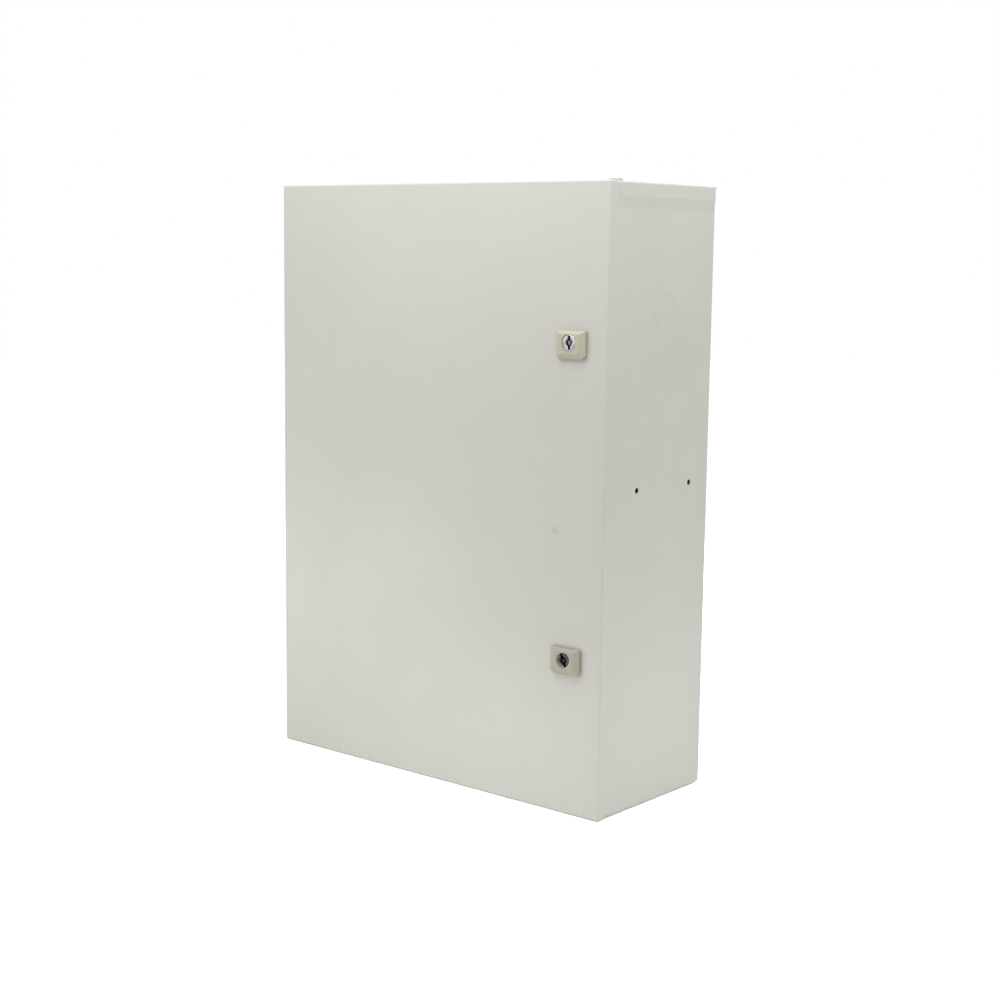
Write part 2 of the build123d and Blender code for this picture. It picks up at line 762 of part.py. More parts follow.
# Locks, upper and lower alike. Each turning part starts at its own angle.
for place, lock_z in lock_heights.items():
    lock_plane = Plane(
        origin=(lock_x, door_face_y, lock_z), x_dir=(1, 0, 0), z_dir=(0, -1, 0)
    )
    turned_plane = lock_plane.rotated((0, -lock_turns[place], 0))

    with BuildPart() as lock_seal:
        with BuildSketch(lock_plane) as seal_outline:
            with Locations((0, -escutcheon_drop)):
                Rectangle(escutcheon_width - 2 * seal_inset, escutcheon_height - 2 * seal_inset)
            seal_rows = seal_outline.vertices().group_by(Axis.Y)
            chamfer(seal_rows[0], length=escutcheon_corner_cut)
            Circle(housing_flange_radius + housing_fit, mode=Mode.SUBTRACT)
        extrude(amount=seal_thickness)
    pieces[f"{place}_lock_seal"] = lock_seal

    # Moulded escutcheon: a block whose four upper edges are bevelled, and whose
    # two lower corners are cut off
    with BuildPart() as escutcheon:
        with BuildSketch(lock_plane.offset(seal_thickness)) as escutcheon_foot:
            with Locations((0, -escutcheon_drop)):
                Rectangle(escutcheon_width, escutcheon_height)
            foot_rows = escutcheon_foot.vertices().group_by(Axis.Y)
            chamfer(foot_rows[0], length=escutcheon_corner_cut)
            fillet(foot_rows[-1], radius=escutcheon_corner)
        extrude(amount=escutcheon_proud - escutcheon_bevel_rise - seal_thickness)
        with BuildSketch(
            lock_plane.offset(escutcheon_proud - escutcheon_bevel_rise)
        ) as bevel_foot:
            with Locations((0, -escutcheon_drop)):
                Rectangle(escutcheon_width, escutcheon_height)
            foot_rows = bevel_foot.vertices().group_by(Axis.Y)
            chamfer(foot_rows[0], length=escutcheon_corner_cut)
            fillet(foot_rows[-1], radius=escutcheon_corner)
        with BuildSketch(lock_plane.offset(escutcheon_proud)) as bevel_top:
            with Locations((0, escutcheon_face_lift - escutcheon_drop)):
                Rectangle(
                    escutcheon_width - 2 * escutcheon_side_bevel,
                    escutcheon_height - escutcheon_top_bevel - escutcheon_bottom_bevel,
                )
            top_rows = bevel_top.vertices().group_by(Axis.Y)
            chamfer(top_rows[0], length=escutcheon_face_cut)
            fillet(top_rows[-1], radius=escutcheon_corner)
        loft(ruled=True)
        with Locations(lock_plane.offset(escutcheon_proud)):
            CounterBoreHole(
                housing_nose_radius + housing_fit,
                housing_nose_radius + 2 * housing_fit,
                housing_nose_recess,
                depth=escutcheon_proud - seal_thickness,
            )
        with BuildSketch(lock_plane.offset(seal_thickness)) as flange_pocket:
            Circle(housing_flange_radius + housing_fit)
        extrude(amount=housing_flange - seal_thickness, mode=Mode.SUBTRACT)
    pieces[f"{place}_escutcheon"] = escutcheon

    with BuildPart() as lock_housing:
        with BuildSketch(lock_plane.offset(housing_back)) as housing_barrel:
            Circle(housing_radius)
        extrude(amount=-housing_back)
        with BuildSketch(lock_plane) as housing_collar:
            Circle(housing_flange_radius)
        extrude(amount=housing_flange)
        with BuildSketch(lock_plane.offset(housing_flange)) as housing_nose:
            Circle(housing_nose_radius)
        extrude(amount=escutcheon_proud - housing_nose_recess - housing_flange)
        with Locations(lock_plane.offset(escutcheon_proud - housing_nose_recess)):
            CounterBoreHole(
                insert_shank_radius + insert_running_clearance,
                insert_radius + insert_running_clearance,
                escutcheon_proud - housing_nose_recess - housing_shoulder,
                depth=escutcheon_proud - housing_nose_recess - housing_back,
            )
    pieces[f"{place}_lock_housing"] = lock_housing

    with BuildPart() as lock_nut:
        with BuildSketch(lock_plane.offset(-door_sheet)) as lock_nut_outline:
            RegularPolygon(nut_across_flats / 2, 6, major_radius=False, rotation=30)
            Circle(housing_radius, mode=Mode.SUBTRACT)
        extrude(amount=-nut_thickness)
    pieces[f"{place}_lock_nut"] = lock_nut

    # Insert with the double-bit key recess and its centre pin
    with BuildPart() as lock_insert:
        with BuildSketch(turned_plane.offset(insert_shoulder)) as insert_head:
            Circle(insert_radius)
        extrude(amount=insert_head_length)
        with BuildSketch(turned_plane.offset(cam_front)) as insert_shank:
            Circle(insert_shank_radius)
        extrude(amount=insert_shoulder - cam_front)
        with BuildSketch(turned_plane.offset(cam_back)) as insert_drive:
            Rectangle(cam_square, cam_square)
        extrude(amount=cam_thickness)
        with BuildSketch(turned_plane.offset(insert_face)) as key_recess:
            Circle(key_socket_radius)
            Rectangle(key_slot_width, key_slot_length)
        extrude(amount=-key_recess_depth, mode=Mode.SUBTRACT)
        with BuildSketch(turned_plane.offset(insert_face - key_recess_depth)) as key_pin:
            Circle(key_pin_radius)
        extrude(amount=key_recess_depth - key_pin_recess)
        with BuildSketch(turned_plane.offset(cam_back)) as insert_thread:
            Circle(cam_screw_radius)
        extrude(amount=cam_screw_depth, mode=Mode.SUBTRACT)
    pieces[f"{place}_lock_insert"] = lock_insert

    with BuildPart() as lock_cam:
        with BuildSketch(turned_plane.offset(cam_front)) as cam_outline:
            arm = Rectangle(cam_width, cam_length, align=(Align.CENTER, Align.MAX))
            fillet(arm.vertices().group_by(Axis.Y)[0], radius=cam_corner)
            Circle(cam_hub_radius)
            Rectangle(
                cam_square + 2 * cam_square_clearance,
                cam_square + 2 * cam_square_clearance,
                mode=Mode.SUBTRACT,
            )
        extrude(amount=-cam_thickness)
    pieces[f"{place}_lock_cam"] = lock_cam

    with BuildPart() as cam_washer_ring:
        with BuildSketch(turned_plane.offset(cam_back)) as cam_washer_outline:
            Circle(cam_washer_radius)
            Circle(cam_screw_radius + washer_hole_clearance, mode=Mode.SUBTRACT)
        extrude(amount=-cam_washer)
    pieces[f"{place}_cam_washer"] = cam_washer_ring

    with BuildPart() as cam_screw:
        with BuildSketch(turned_plane.offset(cam_back - cam_washer)) as cam_screw_outline:
            RegularPolygon(cam_screw_across_flats / 2, 6, major_radius=False)
        extrude(amount=-cam_screw_head)
        with BuildSketch(turned_plane.offset(cam_back - cam_washer)) as cam_screw_shank:
            Circle(cam_screw_radius)
        extrude(amount=cam_washer + cam_screw_depth)
    pieces[f"{place}_cam_screw"] = cam_screw


for piece_name, piece in pieces.items():
    piece.part.label = piece_name
    export_step(piece.part, f"parts/{piece_name}.step")
    print(piece_name, len(piece.solids()), round(piece.part.volume, 1))
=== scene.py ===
import json
import math

import bpy
from mathutils import Matrix, Vector


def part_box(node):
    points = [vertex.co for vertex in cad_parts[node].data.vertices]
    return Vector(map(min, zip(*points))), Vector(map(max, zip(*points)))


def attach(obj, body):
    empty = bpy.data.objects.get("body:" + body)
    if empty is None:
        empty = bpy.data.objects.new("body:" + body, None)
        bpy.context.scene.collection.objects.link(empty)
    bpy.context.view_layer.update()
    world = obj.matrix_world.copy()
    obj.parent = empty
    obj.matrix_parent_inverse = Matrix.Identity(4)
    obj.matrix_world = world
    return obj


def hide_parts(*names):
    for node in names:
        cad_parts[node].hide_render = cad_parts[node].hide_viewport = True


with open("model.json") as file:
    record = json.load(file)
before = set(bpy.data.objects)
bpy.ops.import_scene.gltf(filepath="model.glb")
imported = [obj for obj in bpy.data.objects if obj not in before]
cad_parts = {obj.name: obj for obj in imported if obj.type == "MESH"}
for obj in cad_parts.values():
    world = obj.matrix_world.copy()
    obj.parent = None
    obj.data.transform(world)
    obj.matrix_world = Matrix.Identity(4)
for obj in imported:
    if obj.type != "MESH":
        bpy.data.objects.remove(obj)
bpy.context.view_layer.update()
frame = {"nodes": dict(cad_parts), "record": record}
cadNodes = frame["nodes"]
print("frame loaded,", len(cadNodes), "nodes")


def deselectAll():
    if bpy.context.object and bpy.context.object.mode != "OBJECT":
        bpy.ops.object.mode_set(mode="OBJECT")
    bpy.ops.object.select_all(action="DESELECT")


def pickOnly(piece):
    deselectAll()
    piece.select_set(True)
    bpy.context.view_layer.objects.active = piece


def clearMarks(mesh):
    for part in (mesh.vertices, mesh.edges, mesh.polygons):
        part.foreach_set("select", [False] * len(part))


def pickPoints(piece, test):
    # goes into edit mode with only the points that pass the test picked
    pickOnly(piece)
    bpy.context.tool_settings.mesh_select_mode = (True, False, False)
    clearMarks(piece.data)
    for point in piece.data.vertices:
        point.select = bool(test(point.co))
    bpy.ops.object.mode_set(mode="EDIT")
    bpy.ops.mesh.select_mode(type="VERT")


def pickFaces(piece, test):
    pickOnly(piece)
    bpy.context.tool_settings.mesh_select_mode = (False, False, True)
    clearMarks(piece.data)
    for face in piece.data.polygons:
        face.select = bool(test(face))
    bpy.ops.object.mode_set(mode="EDIT")


def pickEdges(piece, test):
    pickOnly(piece)
    bpy.context.tool_settings.mesh_select_mode = (False, True, False)
    clearMarks(piece.data)
    points = piece.data.vertices
    for edge in piece.data.edges:
        edge.select = bool(test(points[edge.vertices[0]].co, points[edge.vertices[1]].co))
    bpy.ops.object.mode_set(mode="EDIT")


def applyPlace(piece):
    pickOnly(piece)
    bpy.ops.object.transform_apply(location=True, rotation=True, scale=True)


def useModifier(piece, kind, **settings):
    pickOnly(piece)
    modifier = piece.modifiers.new(kind.title(), kind)
    for name, value in settings.items():
        setattr(modifier, name, value)
    bpy.ops.object.modifier_apply(modifier=modifier.name)


def cutWith(piece, cutter, operation="DIFFERENCE"):
    useModifier(piece, "BOOLEAN", operation=operation, object=cutter, solver="EXACT")
    bpy.data.objects.remove(cutter, do_unlink=True)


def joinPieces(pieces):
    deselectAll()
    for piece in pieces:
        piece.select_set(True)
    bpy.context.view_layer.objects.active = pieces[0]
    bpy.ops.object.join()
    return pieces[0]


def copyPiece(piece, place, turn=(0.0, 0.0, 0.0)):
    # each copy has its own mesh, baked where it stands
    twin = piece.copy()
    twin.data = piece.data.copy()
    bpy.context.scene.collection.objects.link(twin)
    twin.location = place
    twin.rotation_euler = [math.radians(angle) for angle in turn]
    applyPlace(twin)
    return twin


def addRod(radius, low, high, sides=48):
    # upright round bar on the Z axis
    deselectAll()
    bpy.ops.mesh.primitive_cylinder_add(vertices=sides, radius=radius, depth=high - low,
                                        location=(0, 0, (low + high) / 2))
    rod = bpy.context.object
    applyPlace(rod)
    return rod


def linearColour(red, green, blue):
    # paint charts give 0..255 values, the shader wants linear light
    def one(value):
        value = value / 255
        return value / 12.92 if value <= 0.04045 else ((value + 0.055) / 1.055) ** 2.4
    return (one(red), one(green), one(blue), 1.0)


def dimmed(colour, share):
    return tuple(channel * share for channel in colour[:3]) + (1.0,)


def newGroup(groupName, inputs, outputs):
    group = bpy.data.node_groups.new(groupName, "ShaderNodeTree")
    for socketName, socketType, value in inputs:
        socket = group.interface.new_socket(socketName, in_out="INPUT", socket_type=socketType)
        if value is not None:
            socket.default_value = value
    for socketName, socketType in outputs:
        group.interface.new_socket(socketName, in_out="OUTPUT", socket_type=socketType)
    entry = group.nodes.new("NodeGroupInput")
    leave = group.nodes.new("NodeGroupOutput")
    return group, entry, leave


def mathNode(tree, operation, first, second=None, clamp=False):
    node = tree.nodes.new("ShaderNodeMath")
    node.operation = operation
    node.use_clamp = clamp
    for index, value in enumerate((first, second)):
        if value is None:
            continue
        if isinstance(value, (int, float)):
            node.inputs[index].default_value = value
        else:
            tree.links.new(value, node.inputs[index])
    return node.outputs[0]


def noiseNode(tree, vector, scale, detail=2.0, roughness=0.5):
    node = tree.nodes.new("ShaderNodeTexNoise")
    node.inputs["Detail"].default_value = detail
    node.inputs["Roughness"].default_value = roughness
    tree.links.new(vector, node.inputs["Vector"])
    if isinstance(scale, (int, float)):
        node.inputs["Scale"].default_value = scale
    else:
        tree.links.new(scale, node.inputs["Scale"])
    return node.outputs["Fac"]


def rangeNode(tree, value, fromLow, fromHigh, toLow, toHigh):
    node = tree.nodes.new("ShaderNodeMapRange")
    tree.links.new(value, node.inputs["Value"])
    for socketName, number in (
        ("From Min", fromLow), ("From Max", fromHigh), ("To Min", toLow), ("To Max", toHigh)
    ):
        if isinstance(number, (int, float)):
            node.inputs[socketName].default_value = number
        else:
            tree.links.new(number, node.inputs[socketName])
    return node.outputs["Result"]


fineToCoarse = 3.6          # the fine grain's scale over that of the dimples
cloudSpan = (0.3, 0.7)      # the part of a noise's values that carries its contrast
heightSpan = (0.4, 0.8)


def buildPeelGroup():
    # the soft dimples of a baked powder coat, or the grain of a moulding
    group, entry, leave = newGroup(
        "sprayedPeel",
        [("Place", "NodeSocketVector", None), ("Dimples", "NodeSocketFloat", 420.0),
         ("Fine Share", "NodeSocketFloat", 0.25), ("Cloud Scale", "NodeSocketFloat", 5.0)],
        [("Height", "NodeSocketFloat"), ("Cloud", "NodeSocketFloat")],
    )
    coarse = noiseNode(group, entry.outputs["Place"], entry.outputs["Dimples"], 1.0, 0.4)
    fineScale = mathNode(group, "MULTIPLY", entry.outputs["Dimples"], fineToCoarse)
    fine = noiseNode(group, entry.outputs["Place"], fineScale, 1.0, 0.5)
    fineHeight = mathNode(group, "MULTIPLY", fine, entry.outputs["Fine Share"])
    height = mathNode(group, "ADD", coarse, fineHeight)
    cloud = noiseNode(group, entry.outputs["Place"], entry.outputs["Cloud Scale"], 3.0, 0.55)
    group.links.new(height, leave.inputs["Height"])
    group.links.new(cloud, leave.inputs["Cloud"])
    return group


def buildGrainGroup():
    # long fine lines left by rolling or brushing, along one axis
    group, entry, leave = newGroup(
        "rolledGrain",
        [("Place", "NodeSocketVector", None), ("Stretch", "NodeSocketVector", (1.0, 1.0, 1.0)),
         ("Lines", "NodeSocketFloat", 900.0)],
        [("Line", "NodeSocketFloat")],
    )
    stretched = group.nodes.new("ShaderNodeVectorMath")
    stretched.operation = "MULTIPLY"
    group.links.new(entry.outputs["Place"], stretched.inputs[0])
    group.links.new(entry.outputs["Stretch"], stretched.inputs[1])
    line = noiseNode(group, stretched.outputs[0], entry.outputs["Lines"], 2.0, 0.6)
    group.links.new(line, leave.inputs["Line"])
    return group


dustLook = {
    "slope": (0.55, 0.98),     # height of the normal where dust starts, and where it is full
    "patches": 26.0,
    "patchNoise": (0.3, 0.75), "patchShare": (0.35, 1.0),
}


def buildDustGroup():
    # thin dust that settles on faces that look up, broken up by noise
    group, entry, leave = newGroup(
        "settledDust",
        [("Place", "NodeSocketVector", None), ("Facing", "NodeSocketVector", None),
         ("Amount", "NodeSocketFloat", 0.2)],
        [("Dust", "NodeSocketFloat")],
    )
    facing = group.nodes.new("ShaderNodeSeparateXYZ")
    group.links.new(entry.outputs["Facing"], facing.inputs[0])
    upward = rangeNode(group, facing.outputs["Z"], *dustLook["slope"], 0.0, 1.0)
    patches = noiseNode(group, entry.outputs["Place"], dustLook["patches"], 4.0, 0.6)
    patchy = rangeNode(group, patches, *dustLook["patchNoise"], *dustLook["patchShare"])
    mask = mathNode(group, "MULTIPLY", upward, patchy)
    dust = mathNode(group, "MULTIPLY", mask, entry.outputs["Amount"], clamp=True)
    group.links.new(dust, leave.inputs["Dust"])
    return group


peelGroup = buildPeelGroup()
grainGroup = buildGrainGroup()
dustGroup = buildDustGroup()
print("shader groups built")


def newFinish(finishName):
    finish = bpy.data.materials.new(finishName)
    finish.use_nodes = True
    tree = finish.node_tree
    shader = tree.nodes["Principled BSDF"]
    place = tree.nodes.new("ShaderNodeTexCoord")
    return finish, tree, shader, place


def useGroup(tree, group, values, links):
    node = tree.nodes.new("ShaderNodeGroup")
    node.node_tree = group
    for socketName, value in values.items():
        node.inputs[socketName].default_value = value
    for socketName, output in links.items():
        tree.links.new(output, node.inputs[socketName])
    return node


def usePeel(tree, place, dimples, clouds=None):
    values = {"Dimples": dimples} if clouds is None else {"Dimples": dimples, "Cloud Scale": clouds}
    return useGroup(tree, peelGroup, values, {"Place": place.outputs["Object"]})


def useGrain(tree, place, lines, stretch=(1.0, 1.0, 1.0)):
    return useGroup(tree, grainGroup, {"Stretch": stretch, "Lines": lines},
                    {"Place": place.outputs["Object"]})


def useDust(tree, place, amount):
    return useGroup(tree, dustGroup, {"Amount": amount},
                    {"Place": place.outputs["Object"], "Facing": place.outputs["Normal"]})


def mixColours(tree, factor, first, second):
    node = tree.nodes.new("ShaderNodeMix")
    node.data_type = "RGBA"
    tree.links.new(factor, node.inputs["Factor"])
    for socketName, value in (("A", first), ("B", second)):
        socket = [s for s in node.inputs if s.name == socketName and s.type == "RGBA"][0]
        if isinstance(value, tuple):
            socket.default_value = value
        else:
            tree.links.new(value, socket)
    return [s for s in node.outputs if s.type == "RGBA"][0]


def bumpFrom(tree, shader, height, strength, distance):
    bump = tree.nodes.new("ShaderNodeBump")
    bump.inputs["Strength"].default_value = strength
    bump.inputs["Distance"].default_value = distance
    tree.links.new(height, bump.inputs["Height"])
    tree.links.new(bump.outputs["Normal"], shader.inputs["Normal"])


paintLook = {
    "colour": linearColour(207, 206, 198),
    "cloudColour": linearColour(202, 201, 194),
    "dustColour": linearColour(190, 186, 174),
    "roughness": (0.40, 0.47),
    "dimples": 420.0,
    "bump": (0.55, 0.00005),                  # strength and depth of the dimples
    "dust": 0.25, "dustDulls": 0.5,
    "rubbedAt": (0.183, -0.0985, 0.3205),    # where the painted shade of the shallow dent in the door sits
    "rubbedSize": (0.0072, 0.0024),           # radius where the painted shade of the dent fades out and where it is full
    "rubbedColour": linearColour(190, 188, 181),
    "rubbedShare": 0.85,
    "ragged": (340.0, 0.0022),                # scale and depth of the uneven edge of the painted dent shade
}


def makePaint():
    finish, tree, shader, place = newFinish("cabinetPaint")
    peel = usePeel(tree, place, paintLook["dimples"])
    dust = useDust(tree, place, paintLook["dust"])
    cloud = rangeNode(tree, peel.outputs["Cloud"], *cloudSpan, 0.0, 1.0)
    tone = mixColours(tree, cloud, paintLook["colour"], paintLook["cloudColour"])
    dusty = mixColours(tree, dust.outputs["Dust"], tone, paintLook["dustColour"])
    # painted shade of the shallow dent: the paint is darkened round the dent and fades out with a ragged edge
    offset = tree.nodes.new("ShaderNodeVectorMath")
    offset.operation = "DISTANCE"
    tree.links.new(place.outputs["Object"], offset.inputs[0])
    offset.inputs[1].default_value = paintLook["rubbedAt"]
    faded, full = paintLook["rubbedSize"]
    raggedScale, raggedDepth = paintLook["ragged"]
    edgeNoise = noiseNode(tree, place.outputs["Object"], raggedScale)
    ragged = mathNode(tree, "MULTIPLY", edgeNoise, raggedDepth)
    reach = mathNode(tree, "ADD", offset.outputs["Value"], ragged)
    dentShade = rangeNode(tree, reach, faded, full, 0.0, paintLook["rubbedShare"])
    tree.links.new(mixColours(tree, dentShade, dusty, paintLook["rubbedColour"]), shader.inputs["Base Color"])
    gloss = rangeNode(tree, peel.outputs["Cloud"], *cloudSpan, *paintLook["roughness"])
    dulled = mathNode(tree, "MULTIPLY", dust.outputs["Dust"], paintLook["dustDulls"])
    tree.links.new(mathNode(tree, "ADD", gloss, dulled), shader.inputs["Roughness"])
    bumpFrom(tree, shader, peel.outputs["Height"], *paintLook["bump"])
    return finish


galvanisedLook = {
    "dark": linearColour(150, 154, 156),
    "light": linearColour(186, 190, 192),
    "spangle": 95.0,
    "warpScale": 60.0, "warpReach": 0.006,    # bends the crystals' straight edges
    "grainLines": 700.0, "grainStretch": (1.0, 1.0, 0.04),
    "crystalShare": 0.75, "grainShare": 0.3,
    "roughness": (0.34, 0.52),
    "metallic": 0.9,
    "bump": (0.12, 0.0002),
    "dust": 0.2,
}


def makeGalvanised():
    finish, tree, shader, place = newFinish("galvanisedSheet")
    warp = tree.nodes.new("ShaderNodeTexNoise")
    warp.inputs["Scale"].default_value = galvanisedLook["warpScale"]
    tree.links.new(place.outputs["Object"], warp.inputs["Vector"])
    shift = tree.nodes.new("ShaderNodeVectorMath")
    shift.operation = "MULTIPLY_ADD"
    tree.links.new(warp.outputs["Color"], shift.inputs[0])
    shift.inputs[1].default_value = [galvanisedLook["warpReach"]] * 3
    tree.links.new(place.outputs["Object"], shift.inputs[2])
    spangle = tree.nodes.new("ShaderNodeTexVoronoi")
    spangle.inputs["Scale"].default_value = galvanisedLook["spangle"]
    tree.links.new(shift.outputs[0], spangle.inputs["Vector"])
    crystal = tree.nodes.new("ShaderNodeSeparateColor")
    tree.links.new(spangle.outputs["Color"], crystal.inputs[0])
    grain = useGrain(tree, place, galvanisedLook["grainLines"], galvanisedLook["grainStretch"])
    dust = useDust(tree, place, galvanisedLook["dust"])
    crystals = mathNode(tree, "MULTIPLY", crystal.outputs[0], galvanisedLook["crystalShare"])
    lines = mathNode(tree, "MULTIPLY", grain.outputs["Line"], galvanisedLook["grainShare"])
    blend = mathNode(tree, "ADD", crystals, lines, clamp=True)
    tone = mixColours(tree, blend, galvanisedLook["dark"], galvanisedLook["light"])
    dusty = mixColours(tree, dust.outputs["Dust"], tone, paintLook["dustColour"])
    tree.links.new(dusty, shader.inputs["Base Color"])
    rough = rangeNode(tree, crystal.outputs[1], 0.0, 1.0, *galvanisedLook["roughness"])
    tree.links.new(rough, shader.inputs["Roughness"])
    shader.inputs["Metallic"].default_value = galvanisedLook["metallic"]
    bumpFrom(tree, shader, crystal.outputs[2], *galvanisedLook["bump"])
    return finish


zincLook = {
    "dark": linearColour(150, 150, 146),
    "light": linearColour(196, 197, 192),
    "grainLines": 520.0,
    "dimples": 900.0, "clouds": 45.0,
    "grainShare": 0.5, "cloudShare": 0.5,
    "bump": (0.15, 0.00005),
    "roughness": (0.28, 0.42),
    "dust": 0.15,
}


def makeZinc():
    # bright zinc plate on screws, nuts, studs, hinges and cams
    finish, tree, shader, place = newFinish("zincPlate")
    grain = useGrain(tree, place, zincLook["grainLines"])
    dust = useDust(tree, place, zincLook["dust"])
    peel = usePeel(tree, place, zincLook["dimples"], zincLook["clouds"])
    lines = mathNode(tree, "MULTIPLY", grain.outputs["Line"], zincLook["grainShare"])
    clouds = mathNode(tree, "MULTIPLY", peel.outputs["Cloud"], zincLook["cloudShare"])
    blend = mathNode(tree, "ADD", lines, clouds, clamp=True)
    tone = mixColours(tree, blend, zincLook["dark"], zincLook["light"])
    dusty = mixColours(tree, dust.outputs["Dust"], tone, paintLook["dustColour"])
    tree.links.new(dusty, shader.inputs["Base Color"])
    rough = rangeNode(tree, grain.outputs["Line"], *cloudSpan, *zincLook["roughness"])
    tree.links.new(rough, shader.inputs["Roughness"])
    shader.inputs["Metallic"].default_value = 1.0
    bumpFrom(tree, shader, grain.outputs["Line"], *zincLook["bump"])
    return finish


insertLook = {
    "rim": linearColour(236, 236, 234),
    "inner": linearColour(176, 174, 172),
    "rimFrom": 0.0042,        # the painted highlight ring starts outside the key's socket
    "rimFull": 0.0056,
    "grainLines": 1500.0,
    "latheStep": 0.00035,     # between the turning marks
    "bump": (0.2, 0.00002),
    "roughness": (0.08, 0.2),
    "brightness": {"upper": 0.85, "lower": 0.13},    # the lower insert gets a darker painted reflection, the upper a bright one
}


def makeInsertFinish(finishName, axisPoint, brightness):
    # turned face: a ring of painted highlight round the socket and pin, which get a duller painted reflection
    finish, tree, shader, place = newFinish(finishName)
    centred = tree.nodes.new("ShaderNodeMapping")
    centred.inputs["Location"].default_value = (-axisPoint[0], 0.0, -axisPoint[2])
    centred.inputs["Scale"].default_value = (1.0, 0.0, 1.0)
    tree.links.new(place.outputs["Object"], centred.inputs["Vector"])
    distance = tree.nodes.new("ShaderNodeVectorMath")
    distance.operation = "LENGTH"
    tree.links.new(centred.outputs[0], distance.inputs[0])
    radius = distance.outputs["Value"]
    # mask of the painted highlight ring, by distance from the lock's axis
    highlightMask = rangeNode(tree, radius, insertLook["rimFrom"], insertLook["rimFull"], 0.0, 1.0)
    grain = useGrain(tree, place, insertLook["grainLines"])
    lathe = mathNode(tree, "SINE", mathNode(tree, "MULTIPLY", radius, 2 * math.pi / insertLook["latheStep"]))
    # both tones are scaled per insert, as painted reflection: dark on the lower insert, bright on the upper
    inner, rim = (dimmed(insertLook[key], brightness) for key in ("inner", "rim"))
    tree.links.new(mixColours(tree, highlightMask, inner, rim), shader.inputs["Base Color"])
    rough = rangeNode(tree, grain.outputs["Line"], *cloudSpan, *insertLook["roughness"])
    tree.links.new(rough, shader.inputs["Roughness"])
    shader.inputs["Metallic"].default_value = 1.0
    bumpFrom(tree, shader, lathe, *insertLook["bump"])
    return finish


diecastLook = {
    "colour": linearColour(196, 196, 198),
    "shade": linearColour(170, 170, 173),
    "dimples": 1400.0,
    "bump": (0.2, 0.00003),
    "roughness": (0.24, 0.36),
}


def makeDiecast():
    finish, tree, shader, place = newFinish("zincDiecast")
    peel = usePeel(tree, place, diecastLook["dimples"])
    tree.links.new(mixColours(tree, peel.outputs["Cloud"], diecastLook["colour"], diecastLook["shade"]),
                   shader.inputs["Base Color"])
    rough = rangeNode(tree, peel.outputs["Height"], *heightSpan, *diecastLook["roughness"])
    tree.links.new(rough, shader.inputs["Roughness"])
    shader.inputs["Metallic"].default_value = 1.0
    bumpFrom(tree, shader, peel.outputs["Height"], *diecastLook["bump"])
    return finish


plasticLook = {
    "colour": linearColour(186, 181, 162),
    "shade": linearColour(180, 174, 155),
    "dimples": 1900.0, "clouds": 60.0,
    "bump": (0.35, 0.00004),
    "roughness": (0.30, 0.38),
    "age": {"upper": 1.08, "lower": 0.9},    # painted light on the upper moulding, painted shade on the lower one
}


def makeBeigePlastic(finishName, age):
    finish, tree, shader, place = newFinish(finishName)
    peel = usePeel(tree, place, plasticLook["dimples"], plasticLook["clouds"])
    # the two mouldings are lit and shaded copies of one plastic: painted light and painted shade
    colour, shade = (dimmed(plasticLook[key], age) for key in ("colour", "shade"))
    tree.links.new(mixColours(tree, peel.outputs["Cloud"], colour, shade), shader.inputs["Base Color"])
    rough = rangeNode(tree, peel.outputs["Height"], *heightSpan, *plasticLook["roughness"])
    tree.links.new(rough, shader.inputs["Roughness"])
    bumpFrom(tree, shader, peel.outputs["Height"], *plasticLook["bump"])
    return finish


foamLook = {
    "colour": linearColour(52, 52, 52),
    "pore": linearColour(26, 26, 26),
    "pores": 900.0, "poreSize": 0.6, "poreShare": 0.5,
    "dimples": 300.0,
    "bump": (0.7, 0.0004),
    "roughness": 0.86,
}


def makeFoam():
    finish, tree, shader, place = newFinish("foamedGasket")
    pores = tree.nodes.new("ShaderNodeTexVoronoi")
    pores.inputs["Scale"].default_value = foamLook["pores"]
    tree.links.new(place.outputs["Object"], pores.inputs["Vector"])
    peel = usePeel(tree, place, foamLook["dimples"])
    depth = rangeNode(tree, pores.outputs["Distance"], 0.0, foamLook["poreSize"], 0.0, 1.0)
    poreHeight = mathNode(tree, "MULTIPLY", depth, foamLook["poreShare"])
    height = mathNode(tree, "ADD", poreHeight, peel.outputs["Height"])
    # the pores are darker where the bump sinks: painted shade in the pits
    tree.links.new(mixColours(tree, depth, foamLook["pore"], foamLook["colour"]), shader.inputs["Base Color"])
    shader.inputs["Roughness"].default_value = foamLook["roughness"]
    bumpFrom(tree, shader, height, *foamLook["bump"])
    return finish


rubberLook = {
    "colour": linearColour(38, 38, 39),
    "bloom": linearColour(58, 58, 58),
    "dimples": 1100.0, "clouds": 30.0,
    "bump": (0.4, 0.00008),
    "roughness": 0.68,
}


def makeRubber():
    finish, tree, shader, place = newFinish("sealRubber")
    peel = usePeel(tree, place, rubberLook["dimples"], rubberLook["clouds"])
    tree.links.new(mixColours(tree, peel.outputs["Cloud"], rubberLook["colour"], rubberLook["bloom"]),
                   shader.inputs["Base Color"])
    shader.inputs["Roughness"].default_value = rubberLook["roughness"]
    bumpFrom(tree, shader, peel.outputs["Height"], *rubberLook["bump"])
    return finish


def nodeCentre(nodeName):
    low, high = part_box(nodeName)
    return (low + high) / 2


